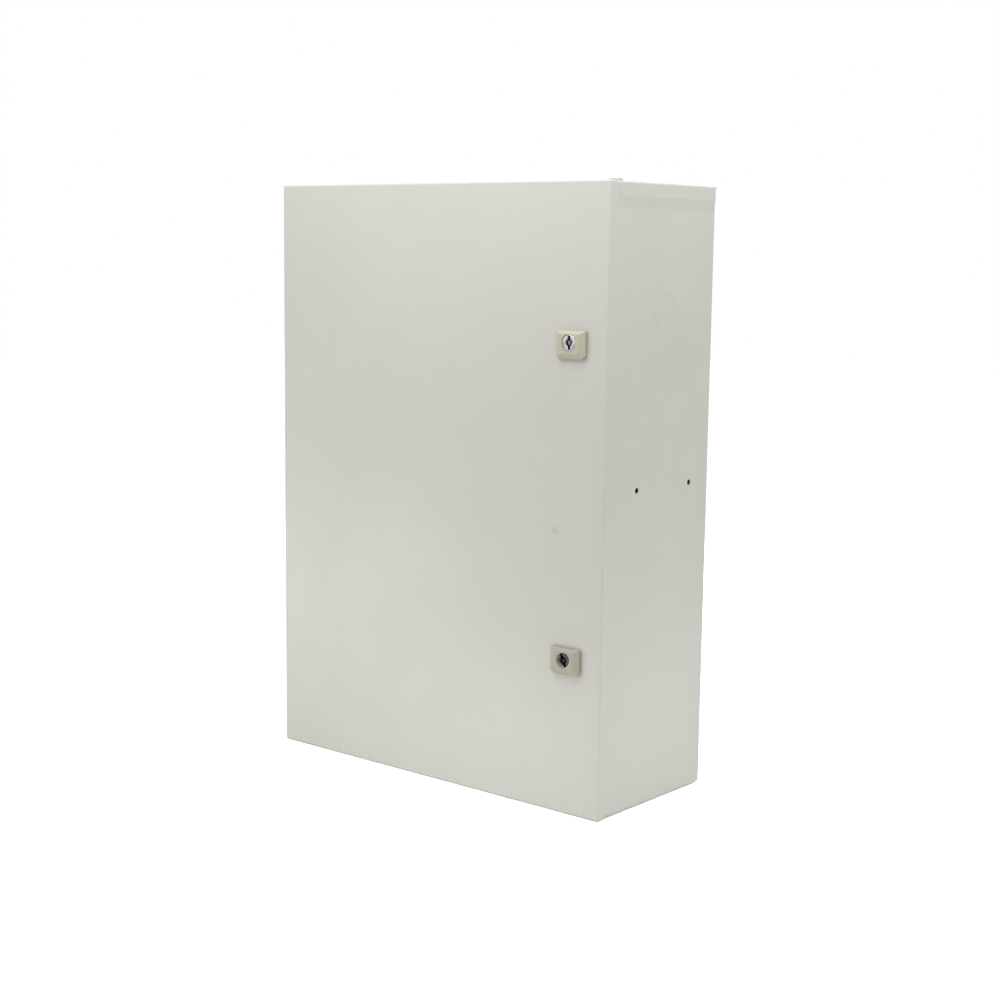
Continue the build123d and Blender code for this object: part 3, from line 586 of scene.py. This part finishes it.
lockAxes = {place: nodeCentre(place + "_lock_housing") for place in ("upper", "lower")}
finishes = {
    "cabinet_paint": makePaint(),
    "galvanised_steel": makeGalvanised(),
    "zinc_hardware": makeZinc(),
    "zinc_diecast": makeDiecast(),
    "foam_gasket": makeFoam(),
    "black_rubber": makeRubber(),
}
plasticFinishes = {
    place: makeBeigePlastic(place + "BeigeMoulding", age) for place, age in plasticLook["age"].items()
}
insertFinishes = {
    place: makeInsertFinish(place + "InsertMetal", lockAxes[place], brightness)
    for place, brightness in insertLook["brightness"].items()
}
slotOfNode = {entry["node"]: entry["material_slot"] for entry in frame["record"]["subparts"]}
bodyOfNode = {name: body for body, names in frame["record"]["behaviour"]["bodies"].items() for name in names}


def giveFinish(piece, finish):
    piece.data.materials.clear()
    piece.data.materials.append(finish)


def finishOf(nodeName):
    place = nodeName.split("_")[0]
    if slotOfNode[nodeName] == "lock_chrome":
        return insertFinishes[place]
    if slotOfNode[nodeName] == "beige_plastic":
        return plasticFinishes[place]
    return finishes[slotOfNode[nodeName]]


for nodeName, cadNode in cadNodes.items():
    giveFinish(cadNode, finishOf(nodeName))
print("finishes given to", len(cadNodes), "nodes")


sizeTolerance = 0.0006


def camelName(nodeName):
    words = nodeName.split("_")
    return words[0] + "".join(word.title() for word in words[1:])


def settlePiece(piece, name, node, replaced=(), smooth=32):
    # node gives the body that the piece rides on and the slot of its finish
    applyPlace(piece)
    bpy.ops.object.shade_smooth_by_angle(angle=math.radians(smooth))
    piece.name = name
    piece.data.name = name
    giveFinish(piece, finishOf(node))
    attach(piece, bodyOfNode[node])
    if replaced:
        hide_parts(*replaced)
        lows, highs = zip(*[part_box(nodeName) for nodeName in replaced])
        points = [point.co for point in piece.data.vertices]
        for axis in range(3):
            cadLow, cadHigh = min(c[axis] for c in lows), max(c[axis] for c in highs)
            ownLow, ownHigh = min(p[axis] for p in points), max(p[axis] for p in points)
            if max(abs(ownLow - cadLow), abs(ownHigh - cadHigh)) > sizeTolerance:
                print("  note:", name, "xyz"[axis], round(1000 * (ownLow - cadLow), 2),
                      round(1000 * (ownHigh - cadHigh), 2), "mm off its node")


# Turned and folded parts keep their form and only get rounded edges:
# node, width of the rounding in mm, rounds, least angle of an edge
softenedNodes = [
    ("lock_insert", 0.28, 3, 40), ("lock_housing", 0.25, 2, 40), ("lock_cam", 0.45, 3, 40),
    ("cam_washer", 0.2, 2, 40), ("lock_seal", 0.25, 2, 30), ("hinge_bracket", 0.3, 2, 40),
    ("hinge_leaf", 0.3, 2, 40), ("hinge_pin", 0.55, 3, 40),
]
softenedSingles = [
    ("plate_washers", 0.3, 2, 40), ("earth_washer", 0.3, 2, 40), ("mounting_plate", 0.4, 2, 40),
    ("door_rail_left", 0.25, 2, 40), ("door_rail_right", 0.25, 2, 40), ("gland_plate", 0.3, 2, 40),
    ("gland_gasket", 0.2, 2, 40),
]


mergeReach = 0.00001
flatAngle = 0.4


def mergedCopy(nodeName, pieceName):
    # a node's mesh with its facets welded together and its flat faces made whole
    piece = bpy.data.objects.new(pieceName, cadNodes[nodeName].data.copy())
    bpy.context.scene.collection.objects.link(piece)
    pickOnly(piece)
    bpy.ops.mesh.customdata_custom_splitnormals_clear()
    bpy.ops.object.mode_set(mode="EDIT")
    bpy.ops.mesh.select_all(action="SELECT")
    bpy.ops.mesh.remove_doubles(threshold=mergeReach)
    bpy.ops.mesh.dissolve_limited(angle_limit=math.radians(flatAngle))
    bpy.ops.object.mode_set(mode="OBJECT")
    return piece


def softenNode(nodeName, edge, rounds, least):
    pieceName = camelName(nodeName) + "Soft"
    piece = mergedCopy(nodeName, pieceName)
    useModifier(piece, "BEVEL", width=edge / 1000, segments=rounds, limit_method="ANGLE",
                angle_limit=math.radians(least), use_clamp_overlap=False, miter_outer="MITER_ARC")
    settlePiece(piece, pieceName, nodeName, (nodeName,))


for ending, edge, rounds, least in softenedNodes:
    for place in ("upper", "lower"):
        softenNode(place + "_" + ending, edge, rounds, least)
for nodeName, edge, rounds, least in softenedSingles:
    softenNode(nodeName, edge, rounds, least)
print("edges rounded on", 2 * len(softenedNodes) + len(softenedSingles), "parts")


escutcheonShape = {
    "rise": 0.003,             # height of the bevels above the upright sides
    "faceWidth": 0.0264, "faceHeight": 0.0217, "faceLift": 0.0005,
    "cornerCut": 0.0035,       # the two lower corners
    "cornerRound": 0.0009,     # the two upper ones
    "edgeRound": 0.0004,
    "holeRadius": 0.00955, "pocketRadius": 0.0114, "pocketDepth": 0.0022,
    "cutReach": 0.02,
}


def makeEscutcheon(place):
    shape = escutcheonShape
    nodeName = place + "_escutcheon"
    low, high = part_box(nodeName)
    middle, size = (low + high) / 2, high - low
    footDepth = size.y - shape["rise"]
    deselectAll()
    bpy.ops.mesh.primitive_cube_add(size=1, location=(middle.x, high.y - footDepth / 2, middle.z),
                                    scale=(size.x, footDepth, size.z))
    piece = bpy.context.object
    applyPlace(piece)
    pickEdges(piece, lambda a, b: a.z < middle.z and b.z < middle.z and abs(a.y - b.y) > footDepth / 2)
    bpy.ops.mesh.bevel(offset=shape["cornerCut"], segments=1, affect="EDGES")
    pickEdges(piece, lambda a, b: a.z > middle.z and b.z > middle.z and abs(a.y - b.y) > footDepth / 2)
    bpy.ops.mesh.bevel(offset=shape["cornerRound"], segments=5, affect="EDGES")
    pickFaces(piece, lambda face: face.normal.y < -0.9)
    bpy.ops.mesh.extrude_region_move(TRANSFORM_OT_translate={"value": (0, -shape["rise"], 0)})
    bpy.ops.transform.resize(value=(shape["faceWidth"] / size.x, 1, shape["faceHeight"] / size.z),
                             center_override=middle)
    bpy.ops.transform.translate(value=(0, 0, shape["faceLift"]))
    useModifier(piece, "BEVEL", width=shape["edgeRound"], segments=4, limit_method="ANGLE",
                angle_limit=math.radians(12))
    axis = lockAxes[place]
    reach = shape["cutReach"]
    for radius, depth in ((shape["holeRadius"], reach), (shape["pocketRadius"], shape["pocketDepth"])):
        cutter = addRod(radius, -reach, depth, 96)
        cutter.location = (axis.x, high.y, axis.z)
        cutter.rotation_euler = (math.radians(90), 0, 0)
        applyPlace(cutter)
        cutWith(piece, cutter)
    # smooth only round the holes, so that the bevels stay flat
    settlePiece(piece, place + "EscutcheonMoulding", nodeName, (nodeName,), smooth=5)


for place in ("upper", "lower"):
    makeEscutcheon(place)
print("escutcheons moulded")


chamferedShare = 0.97      # the turned face of a hexagon, as a share of its flats


def makeHexPiece(flats, thick, bore, edge=0.00015):
    # hexagon with turned 30-degree chamfers, from z = 0 up, corners on X
    corner = flats / math.cos(math.radians(30)) / 2
    turned = flats / 2 * chamferedShare
    deselectAll()
    bpy.ops.mesh.primitive_cylinder_add(vertices=6, radius=corner, depth=thick,
                                        location=(0, 0, thick / 2), rotation=(0, 0, math.radians(30)))
    piece = bpy.context.object
    applyPlace(piece)
    chamfer = (corner - turned) * math.tan(math.radians(30))
    blank = addRod(corner * 1.001, chamfer, thick - chamfer, 72)
    for side, move in ((1, chamfer), (-1, -chamfer)):
        pickFaces(blank, lambda face: face.normal.z * side > 0.9)
        bpy.ops.mesh.extrude_region_move(TRANSFORM_OT_translate={"value": (0, 0, move)})
        bpy.ops.transform.resize(value=(turned / corner, turned / corner, 1), center_override=(0, 0, 0))
    cutWith(piece, blank, "INTERSECT")
    if bore:
        cutWith(piece, addRod(bore, -0.01, thick + 0.01, 48))
    useModifier(piece, "BEVEL", width=edge, segments=2, limit_method="ANGLE", angle_limit=math.radians(24),
                use_clamp_overlap=False)
    return piece


threadShape = {
    "depth": 0.6, "foot": 0.94,    # shares of the pitch
    "crest": 0.2,                  # share of the foot
    "coreRoom": 0.00002, "stepsPerTurn": 24, "tipRound": 0.6,
    "mergeReach": 0.000005,
}


def makeThreadedRod(radius, pitch, length, tip=0.0007):
    # helical tooth wound on a core, from z = 0 up
    shape = threadShape
    root = radius - shape["depth"] * pitch
    core = addRod(root + shape["coreRoom"], 0.0, length, 32)
    pickFaces(core, lambda face: face.normal.z > 0.9)
    bpy.ops.mesh.bevel(offset=tip * shape["tipRound"], segments=2, affect="EDGES")
    deselectAll()
    bpy.ops.mesh.primitive_plane_add(size=1, location=((root + radius) / 2, 0, 0),
                                     rotation=(math.radians(90), 0, 0))
    tooth = bpy.context.object
    tooth.scale = (radius - root, pitch * shape["foot"], 1)
    applyPlace(tooth)
    pickPoints(tooth, lambda co: co.x > (root + radius) / 2)
    bpy.ops.transform.resize(value=(1, 1, shape["crest"]), center_override=(radius, 0, 0))
    bpy.ops.mesh.select_all(action="SELECT")
    bpy.ops.mesh.delete(type="ONLY_FACE")
    bpy.ops.object.mode_set(mode="OBJECT")
    turns = int(length / pitch) + 2
    steps = shape["stepsPerTurn"]
    useModifier(tooth, "SCREW", axis="Z", steps=steps, render_steps=steps, screw_offset=pitch,
                iterations=turns, use_smooth_shade=False)
    tooth.location = (0, 0, -pitch)
    applyPlace(tooth)
    bpy.ops.object.mode_set(mode="EDIT")
    bpy.ops.mesh.select_all(action="SELECT")
    bpy.ops.mesh.remove_doubles(threshold=shape["mergeReach"])
    bpy.ops.mesh.fill_holes(sides=4)
    bpy.ops.mesh.normals_make_consistent(inside=False)
    bpy.ops.object.mode_set(mode="OBJECT")
    blank = addRod(radius * 1.02, 0.0, length - tip, 48)
    pickFaces(blank, lambda face: face.normal.z > 0.9)
    bpy.ops.mesh.extrude_region_move(TRANSFORM_OT_translate={"value": (0, 0, tip)})
    bpy.ops.transform.resize(value=(root / radius, root / radius, 1), center_override=(0, 0, 0))
    cutWith(tooth, blank, "INTERSECT")
    return joinPieces([core, tooth])


def fourPlaces(nodeName, alongX, alongZ):
    # centres of a node's four like parts, alongX and alongZ being one part's size
    low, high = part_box(nodeName)
    return [(x, z) for x in (low.x + alongX / 2, high.x - alongX / 2)
            for z in (low.z + alongZ / 2, high.z - alongZ / 2)]


boltShapes = {
    "plateStud": {"radius": 0.004, "pitch": 0.00125, "collar": 0.0075, "stand": 0.015, "sunk": 0.002,
                  "collarEdge": 0.0006, "weldRoom": 0.0002, "weldHigh": 0.0012, "weldSpread": 1.16},
    "earthStud": {"weldHigh": 0.0013, "weldSpread": 1.3},
    "plateNut": {"flats": 0.013, "thick": 0.0065, "bore": 0.00385},
    "coverStud": {"radius": 0.0025, "pitch": 0.0008, "tip": 0.0004},
    "lockNut": {"flats": 0.024, "thick": 0.005, "bore": 0.00975, "edge": 0.0002},
    "camScrew": {"flats": 0.008, "thick": 0.0035, "shank": 0.0025, "overlap": 0.0005},
    "hingeScrew": {"head": 0.0035, "rise": 0.0024, "crown": 0.0011, "shank": 0.002, "pitch": 0.0007,
                   "tip": 0.0004, "turns": (17, 62), "recess": (0.0042, 0.0009, 0.0024), "recessFoot": 0.55},
}


def addFootWeld(radius, height, spread, sides):
    # fillet of weld metal round the foot of a stud
    weld = addRod(radius, 0.0, height, sides)
    pickFaces(weld, lambda face: face.normal.z < -0.9)
    bpy.ops.transform.resize(value=(spread, spread, 1), center_override=(0, 0, 0))
    bpy.ops.object.mode_set(mode="OBJECT")
    return weld


def makePlateStuds():
    shape = boltShapes["plateStud"]
    low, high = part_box("plate_studs")
    rod = makeThreadedRod(shape["radius"], shape["pitch"], high.y - low.y - shape["stand"] + shape["sunk"])
    rod.location = (0, 0, shape["stand"] - shape["sunk"])
    applyPlace(rod)
    collar = addRod(shape["collar"], 0.0, shape["stand"], 48)
    useModifier(collar, "BEVEL", width=shape["collarEdge"], segments=3, limit_method="ANGLE",
                angle_limit=math.radians(40))
    weld = addFootWeld(shape["collar"] + shape["weldRoom"], shape["weldHigh"], shape["weldSpread"], 48)
    stud = joinPieces([collar, rod, weld])
    studs = [copyPiece(stud, (x, high.y, z), (90, 0, 0)) for x, z in
             fourPlaces("plate_studs", 2 * shape["collar"], 2 * shape["collar"])]
    bpy.data.objects.remove(stud, do_unlink=True)
    settlePiece(joinPieces(studs), "plateStudsThreaded", "plate_studs", ("plate_studs",))


def makePlateNuts():
    shape = boltShapes["plateNut"]
    low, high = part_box("plate_nuts")
    nut = makeHexPiece(shape["flats"], shape["thick"], shape["bore"])
    across = shape["flats"] / math.cos(math.radians(30))
    nuts = [copyPiece(nut, (x, high.y, z), (90, 0, 0)) for x, z in
            fourPlaces("plate_nuts", across, shape["flats"])]
    settlePiece(joinPieces(nuts), "plateNutsTurned", "plate_nuts", ("plate_nuts",))
    for nodeName, turn in (("earth_nut", (0, 0, 0)), ("door_earth_nut", (90, 0, 0))):
        low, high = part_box(nodeName)
        middle = (low + high) / 2
        foot = (middle.x, middle.y, low.z) if nodeName == "earth_nut" else (middle.x, high.y, middle.z)
        settlePiece(copyPiece(nut, foot, turn), camelName(nodeName) + "Turned", nodeName, (nodeName,))
    bpy.data.objects.remove(nut, do_unlink=True)


def makeEarthStuds():
    shape, footShape = boltShapes["plateStud"], boltShapes["earthStud"]
    for nodeName in ("earth_stud", "door_earth_stud"):
        low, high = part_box(nodeName)
        middle, upright = (low + high) / 2, nodeName == "earth_stud"
        length = high.z - low.z if upright else high.y - low.y
        rod = makeThreadedRod(shape["radius"], shape["pitch"], length)
        weld = addFootWeld(shape["radius"], footShape["weldHigh"], footShape["weldSpread"], 32)
        rod = joinPieces([rod, weld])
        rod.location = (middle.x, middle.y, low.z) if upright else (middle.x, low.y, middle.z)
        rod.rotation_euler = (0, 0, 0) if upright else (math.radians(-90), 0, 0)
        settlePiece(rod, camelName(nodeName) + "Threaded", nodeName, (nodeName,))


def makeCoverStuds():
    shape = boltShapes["coverStud"]
    low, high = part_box("gland_studs")
    rod = makeThreadedRod(shape["radius"], shape["pitch"], high.z - low.z, shape["tip"])
    places = [(x, y, low.z) for x in (low.x + shape["radius"], 0.0, high.x - shape["radius"])
              for y in (low.y + shape["radius"], high.y - shape["radius"])]
    studs = [copyPiece(rod, place) for place in places]
    bpy.data.objects.remove(rod, do_unlink=True)
    settlePiece(joinPieces(studs), "coverStudsThreaded", "gland_studs", ("gland_studs",))


makePlateStuds()
makePlateNuts()
makeEarthStuds()
makeCoverStuds()
print("studs and nuts threaded")


def makeLockFasteners(place, lockTurn):
    nutShape, screwShape = boltShapes["lockNut"], boltShapes["camScrew"]
    axis = lockAxes[place]
    low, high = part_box(place + "_lock_nut")
    nut = makeHexPiece(nutShape["flats"], nutShape["thick"], nutShape["bore"], nutShape["edge"])
    nut.location = (axis.x, low.y, axis.z)
    nut.rotation_euler = (math.radians(-90), math.radians(30), 0)
    settlePiece(nut, place + "LockNutTurned", place + "_lock_nut", (place + "_lock_nut",))
    low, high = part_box(place + "_cam_screw")
    head = makeHexPiece(screwShape["flats"], screwShape["thick"], 0)
    shank = addRod(screwShape["shank"], -(high.y - low.y - screwShape["thick"]), screwShape["overlap"], 32)
    screw = joinPieces([head, shank])
    screw.location = (axis.x, high.y - screwShape["thick"], axis.z)
    screw.rotation_euler = (math.radians(-90), math.radians(-lockTurn), 0)
    settlePiece(screw, place + "CamScrewTurned", place + "_cam_screw", (place + "_cam_screw",))


def makeHingeScrews(place):
    shape = boltShapes["hingeScrew"]
    nodeName = place + "_hinge_screws"
    low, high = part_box(nodeName)
    head = addRod(shape["head"], 0.0, shape["rise"], 48)
    pickFaces(head, lambda face: face.normal.z > 0.9)
    bpy.ops.mesh.bevel(offset=shape["crown"], segments=5, affect="EDGES")
    bpy.ops.object.mode_set(mode="OBJECT")
    # cross recess, narrower at the bottom
    for turn in (0, 90):
        deselectAll()
        bpy.ops.mesh.primitive_cube_add(size=1, location=(0, 0, shape["rise"]),
                                        scale=shape["recess"], rotation=(0, 0, math.radians(turn)))
        slot = bpy.context.object
        applyPlace(slot)
        pickPoints(slot, lambda co: co.z < shape["rise"])
        narrow = shape["recessFoot"]
        bpy.ops.transform.resize(value=(narrow, narrow, 1), center_override=(0, 0, 0))
        bpy.ops.object.mode_set(mode="OBJECT")
        cutWith(head, slot)
    shank = makeThreadedRod(shape["shank"], shape["pitch"], high.y - low.y - shape["rise"], shape["tip"])
    shank.rotation_euler = (math.radians(180), 0, 0)
    applyPlace(shank)
    screw = joinPieces([head, shank])
    places = [((low.x + high.x) / 2, low.y + shape["rise"], z)
              for z in (low.z + shape["head"], high.z - shape["head"])]
    screws = [copyPiece(screw, spot, (90, turn, 0)) for spot, turn in zip(places, shape["turns"])]
    bpy.data.objects.remove(screw, do_unlink=True)
    settlePiece(joinPieces(screws), place + "HingeScrewsCross", nodeName, (nodeName,))


for place, lockTurn in (("upper", 0), ("lower", 25)):
    makeLockFasteners(place, lockTurn)
    makeHingeScrews(place)
print("lock and hinge fasteners made")


gasketShape = {
    "voxel": 0.0013, "ripple": 0.0005, "rippleSize": 0.018,
    "startAt": 0.06, "startRun": 0.008, "startHigh": 0.012, "startBulge": 0.0005,
}


def makeDoorGasket():
    # foam laid by a nozzle: rounded, slightly uneven, thicker where it starts and ends
    shape = gasketShape
    piece = mergedCopy("door_gasket", "foamedDoorGasket")
    useModifier(piece, "REMESH", mode="VOXEL", voxel_size=shape["voxel"])
    useModifier(piece, "SMOOTH", factor=0.5, iterations=5)
    ripple = bpy.data.textures.new("foamRipple", "CLOUDS")
    ripple.noise_scale = shape["rippleSize"]
    useModifier(piece, "DISPLACE", texture=ripple, strength=shape["ripple"], mid_level=0.6)
    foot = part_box("door_gasket")[0].z
    pickPoints(piece, lambda co: co.z < foot + shape["startHigh"]
               and abs(co.x - shape["startAt"]) < shape["startRun"])
    bpy.ops.transform.shrink_fatten(value=shape["startBulge"])
    bpy.ops.object.mode_set(mode="OBJECT")
    settlePiece(piece, "foamedDoorGasket", "door_gasket", ("door_gasket",), smooth=80)


makeDoorGasket()
print("gasket foamed")


sealerShape = {
    "belowTab": 0.0184,        # the seam below the top of the corner tab
    "drop": 0.011, "step": 0.00112, "thick": 0.0024,
    "edge": 0.0001,            # rounding of the beads
    "cornerRoom": 0.0022,      # left free at the rounded corners
    "tabRoom": 0.0045,         # from the corner bead up to the top of the tab
    "frontGap": 0.0004,        # to the door's edge
    # fairing of the front edge: how far back it runs, and its rise at both ends
    "edgeRun": 0.012, "edgeProud": 0.0011, "edgeLeft": 0.00006, "edgeFoot": 0.002,
}


def addBead(start, end, foot, head, outer, thick):
    deselectAll()
    side = 1 if outer > 0 else -1
    middle = (outer - side * thick / 2, (start + end) / 2, (foot + head) / 2)
    bpy.ops.mesh.primitive_cube_add(size=1, location=middle, scale=(thick, end - start, head - foot))
    bead = bpy.context.object
    applyPlace(bead)
    return bead


def roundBead(bead):
    useModifier(bead, "BEVEL", width=sealerShape["edge"], segments=2, limit_method="ANGLE",
                angle_limit=math.radians(30))
    return bead


def makeRoofSealer():
    # beads that fair the lower edges of the roof into the sides, and one that fills its right front corner
    shape = sealerShape
    low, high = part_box("roof_panel")
    top = high.z - shape["belowTab"]
    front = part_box("door_panel")[1].y + shape["frontGap"]
    corner, back = front + shape["cornerRoom"], high.y - shape["cornerRoom"]
    beads = []
    for side in (-1, 1):
        outer = high.x * side
        bead = addBead(corner, back, top - shape["drop"], top, outer, shape["thick"])
        pickPoints(bead, lambda co: co.z < top - shape["drop"] / 2 and abs(co.x - outer) < 0.0001)
        bpy.ops.transform.translate(value=(-side * shape["step"], 0, 0))
        bpy.ops.object.mode_set(mode="OBJECT")
        beads.append(roundBead(bead))
    beads.append(roundBead(addBead(front, corner, top, high.z - shape["tabRoom"], high.x, shape["thick"])))
    settlePiece(joinPieces(beads), "roofSeamSealer", "roof_panel", smooth=5)
    # the body's right front edge is faired up to the door's return
    low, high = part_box("shell_wrap")
    edge = addBead(front, front + shape["edgeRun"], low.z + shape["edgeFoot"], top,
                   high.x + shape["edgeProud"], shape["thick"])
    pickPoints(edge, lambda co: co.y > front + shape["edgeRun"] / 2 and co.x > high.x)
    bpy.ops.transform.translate(value=(shape["edgeLeft"] - shape["edgeProud"], 0, 0))
    bpy.ops.object.mode_set(mode="OBJECT")
    settlePiece(roundBead(edge), "frontEdgeFairing", "shell_wrap", smooth=5)


makeRoofSealer()
print("roof seam sealed")


weldShape = {
    "leafRadius": 0.0011, "leafStart": 0.005, "leafEnd": 0.001,
    "railRadius": 0.0010, "railOut": 0.0002, "railRun": 0.006,
    "railPlaces": {"Foot": 0.06, "Low": 0.35, "High": 0.65, "Top": 0.94},    # shares of the rail's height
    "offSheet": 0.0004,
    "flat": (1.0, 0.8, 0.8), "step": 0.75,
}


def makeWeldRun(name, node, start, end, radius):
    # overlapping flattened drops of a hand weld
    run = Vector(end) - Vector(start)
    deselectAll()
    bpy.ops.mesh.primitive_uv_sphere_add(segments=12, ring_count=6, radius=radius, location=start)
    drop = bpy.context.object
    drop.scale = weldShape["flat"]
    applyPlace(drop)
    count = max(2, int(run.length / (radius * weldShape["step"])))
    step = run / (count - 1)
    useModifier(drop, "ARRAY", count=count, use_relative_offset=False, use_constant_offset=True,
                constant_offset_displace=step)
    settlePiece(drop, name, node, smooth=60)


def makeWelds():
    shape = weldShape
    for place in ("upper", "lower"):
        nodeName = place + "_hinge_leaf"
        low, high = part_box(nodeName)
        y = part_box("door_gasket")[0].y + shape["offSheet"]
        for word, z in (("Top", high.z), ("Foot", low.z)):
            start, end = (low.x + shape["leafStart"], y, z), (high.x - shape["leafEnd"], y, z)
            makeWeldRun(place + "LeafWeld" + word, nodeName, start, end, shape["leafRadius"])
    for side in ("left", "right"):
        nodeName = "door_rail_" + side
        low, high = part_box(nodeName)
        x, y = low.x - shape["railOut"], low.y + shape["offSheet"]
        for word, share in shape["railPlaces"].items():
            z = low.z + share * (high.z - low.z)
            makeWeldRun(side + "RailWeld" + word, nodeName, (x, y, z - shape["railRun"]),
                        (x, y, z + shape["railRun"]), shape["railRadius"])


makeWelds()
print("welds laid")


cameraPlace = {
    "location": (1.3556, -1.6018, 0.6252),
    "yaw": 39.783,
    "pitch": 8.124,
    "roll": -0.735,
    "lens": 62.95,
}


def placeCamera():
    data = bpy.data.cameras.new("photoCamera")
    camera = bpy.data.objects.new("photoCamera", data)
    bpy.context.scene.collection.objects.link(camera)
    yaw, pitch, roll = (math.radians(cameraPlace[k]) for k in ("yaw", "pitch", "roll"))
    forward = Vector((-math.sin(yaw) * math.cos(pitch), math.cos(yaw) * math.cos(pitch), -math.sin(pitch)))
    level = Vector((math.cos(yaw), math.sin(yaw), 0.0))
    below = forward.cross(level)
    right = math.cos(roll) * level + math.sin(roll) * below
    down = -math.sin(roll) * level + math.cos(roll) * below
    turn = Matrix((right, -down, -forward)).transposed().to_4x4()
    camera.matrix_world = Matrix.Translation(cameraPlace["location"]) @ turn
    data.sensor_width = 36.0
    data.sensor_fit = "HORIZONTAL"
    data.lens = cameraPlace["lens"]
    data.clip_start, data.clip_end = 0.05, 50.0
    bpy.context.scene.camera = camera


stageLook = {
    "floorSize": 14.0,
    "floorColour": (0.86, 0.86, 0.85, 1.0),
    "floorSeen": (2.4, 2.4, 2.4, 1.0),
    "floorMirrored": (0.95, 0.95, 0.95, 1.0),
    "worldLight": 0.48,
    "lamps": [
        {"name": "overPanel", "at": (-0.1, -0.55, 1.25), "aim": (-0.05, -0.1, 0.55),
         "size": (0.6, 0.6), "watts": 4.3},
        {"name": "rightPanel", "at": (0.75, 0.0, 1.2), "aim": (0.4, 0.0, 0.4),
         "size": (0.6, 0.6), "watts": 4.05},
        {"name": "topRight", "at": (0.3, -0.6, 1.1), "aim": (0.2, -0.1, 0.65),
         "size": (0.4, 0.4), "watts": 1.25},
        {"name": "lowLeft", "at": (-0.72, -0.6, 0.05), "aim": (-0.25, -0.1, 0.05),
         "size": (0.3, 0.3), "watts": 1.5},
        {"name": "lowRight", "at": (0.75, 0.05, 0.06), "aim": (0.25, 0.0, 0.0),
         "size": (0.4, 0.4), "watts": 0.45},
        {"name": "footStrip", "at": (0.08, -0.33, 0.03), "aim": (0.08, -0.1, 0.03),
         "size": (0.4, 0.04), "watts": 0.14},
        {"name": "sideFoot", "at": (0.5, 0.03, 0.03), "aim": (0.25, 0.03, 0.03),
         "size": (0.2, 0.04), "watts": 0.08},
        {"name": "backPanel", "at": (-0.8, 1.3, 1.0), "aim": (0.0, 0.1, 0.35),
         "size": (0.9, 0.9), "watts": 6.0},
    ],
}


def buildStage():
    deselectAll()
    bpy.ops.mesh.primitive_plane_add(size=stageLook["floorSize"], location=(0, 0, 0))
    floor = bpy.context.object
    floor.name = "studioFloor"
    finish, tree, shader, _ = newFinish("studioFloor")
    tree.nodes.remove(shader)
    output = tree.nodes["Material Output"]
    seen = tree.nodes.new("ShaderNodeLightPath")
    diffuse = tree.nodes.new("ShaderNodeBsdfDiffuse")
    mirrored = mathNode(tree, "MAXIMUM", seen.outputs["Is Glossy Ray"], seen.outputs["Is Transmission Ray"])
    unseen = mixColours(tree, mirrored, stageLook["floorColour"], stageLook["floorMirrored"])
    tree.links.new(mixColours(tree, seen.outputs["Is Camera Ray"], unseen, stageLook["floorSeen"]),
                   diffuse.inputs["Color"])
    tree.links.new(diffuse.outputs[0], output.inputs["Surface"])
    giveFinish(floor, finish)

    world = bpy.data.worlds.new("studioWorld")
    bpy.context.scene.world = world
    world.use_nodes = True
    tree = world.node_tree
    background = tree.nodes["Background"]
    seen = tree.nodes.new("ShaderNodeLightPath")
    mirrored = mathNode(tree, "MAXIMUM", seen.outputs["Is Camera Ray"], seen.outputs["Is Glossy Ray"])
    direct = mathNode(tree, "MAXIMUM", mirrored, seen.outputs["Is Transmission Ray"])
    strength = rangeNode(tree, direct, 0.0, 1.0, stageLook["worldLight"], 1.0)
    background.inputs["Color"].default_value = (1.0, 1.0, 1.0, 1.0)
    tree.links.new(strength, background.inputs["Strength"])

    for lamp in stageLook["lamps"]:
        data = bpy.data.lights.new(lamp["name"], "AREA")
        data.shape = "RECTANGLE"
        data.size, data.size_y = lamp["size"]
        data.energy = lamp["watts"]
        light = bpy.data.objects.new(lamp["name"], data)
        bpy.context.scene.collection.objects.link(light)
        light.location = lamp["at"]
        aim = Vector(lamp["aim"]) - Vector(lamp["at"])
        light.rotation_euler = aim.to_track_quat("-Z", "Y").to_euler()
    bpy.context.scene.view_settings.view_transform = "Standard"


placeCamera()
buildStage()
print("camera, lamps and floor placed")
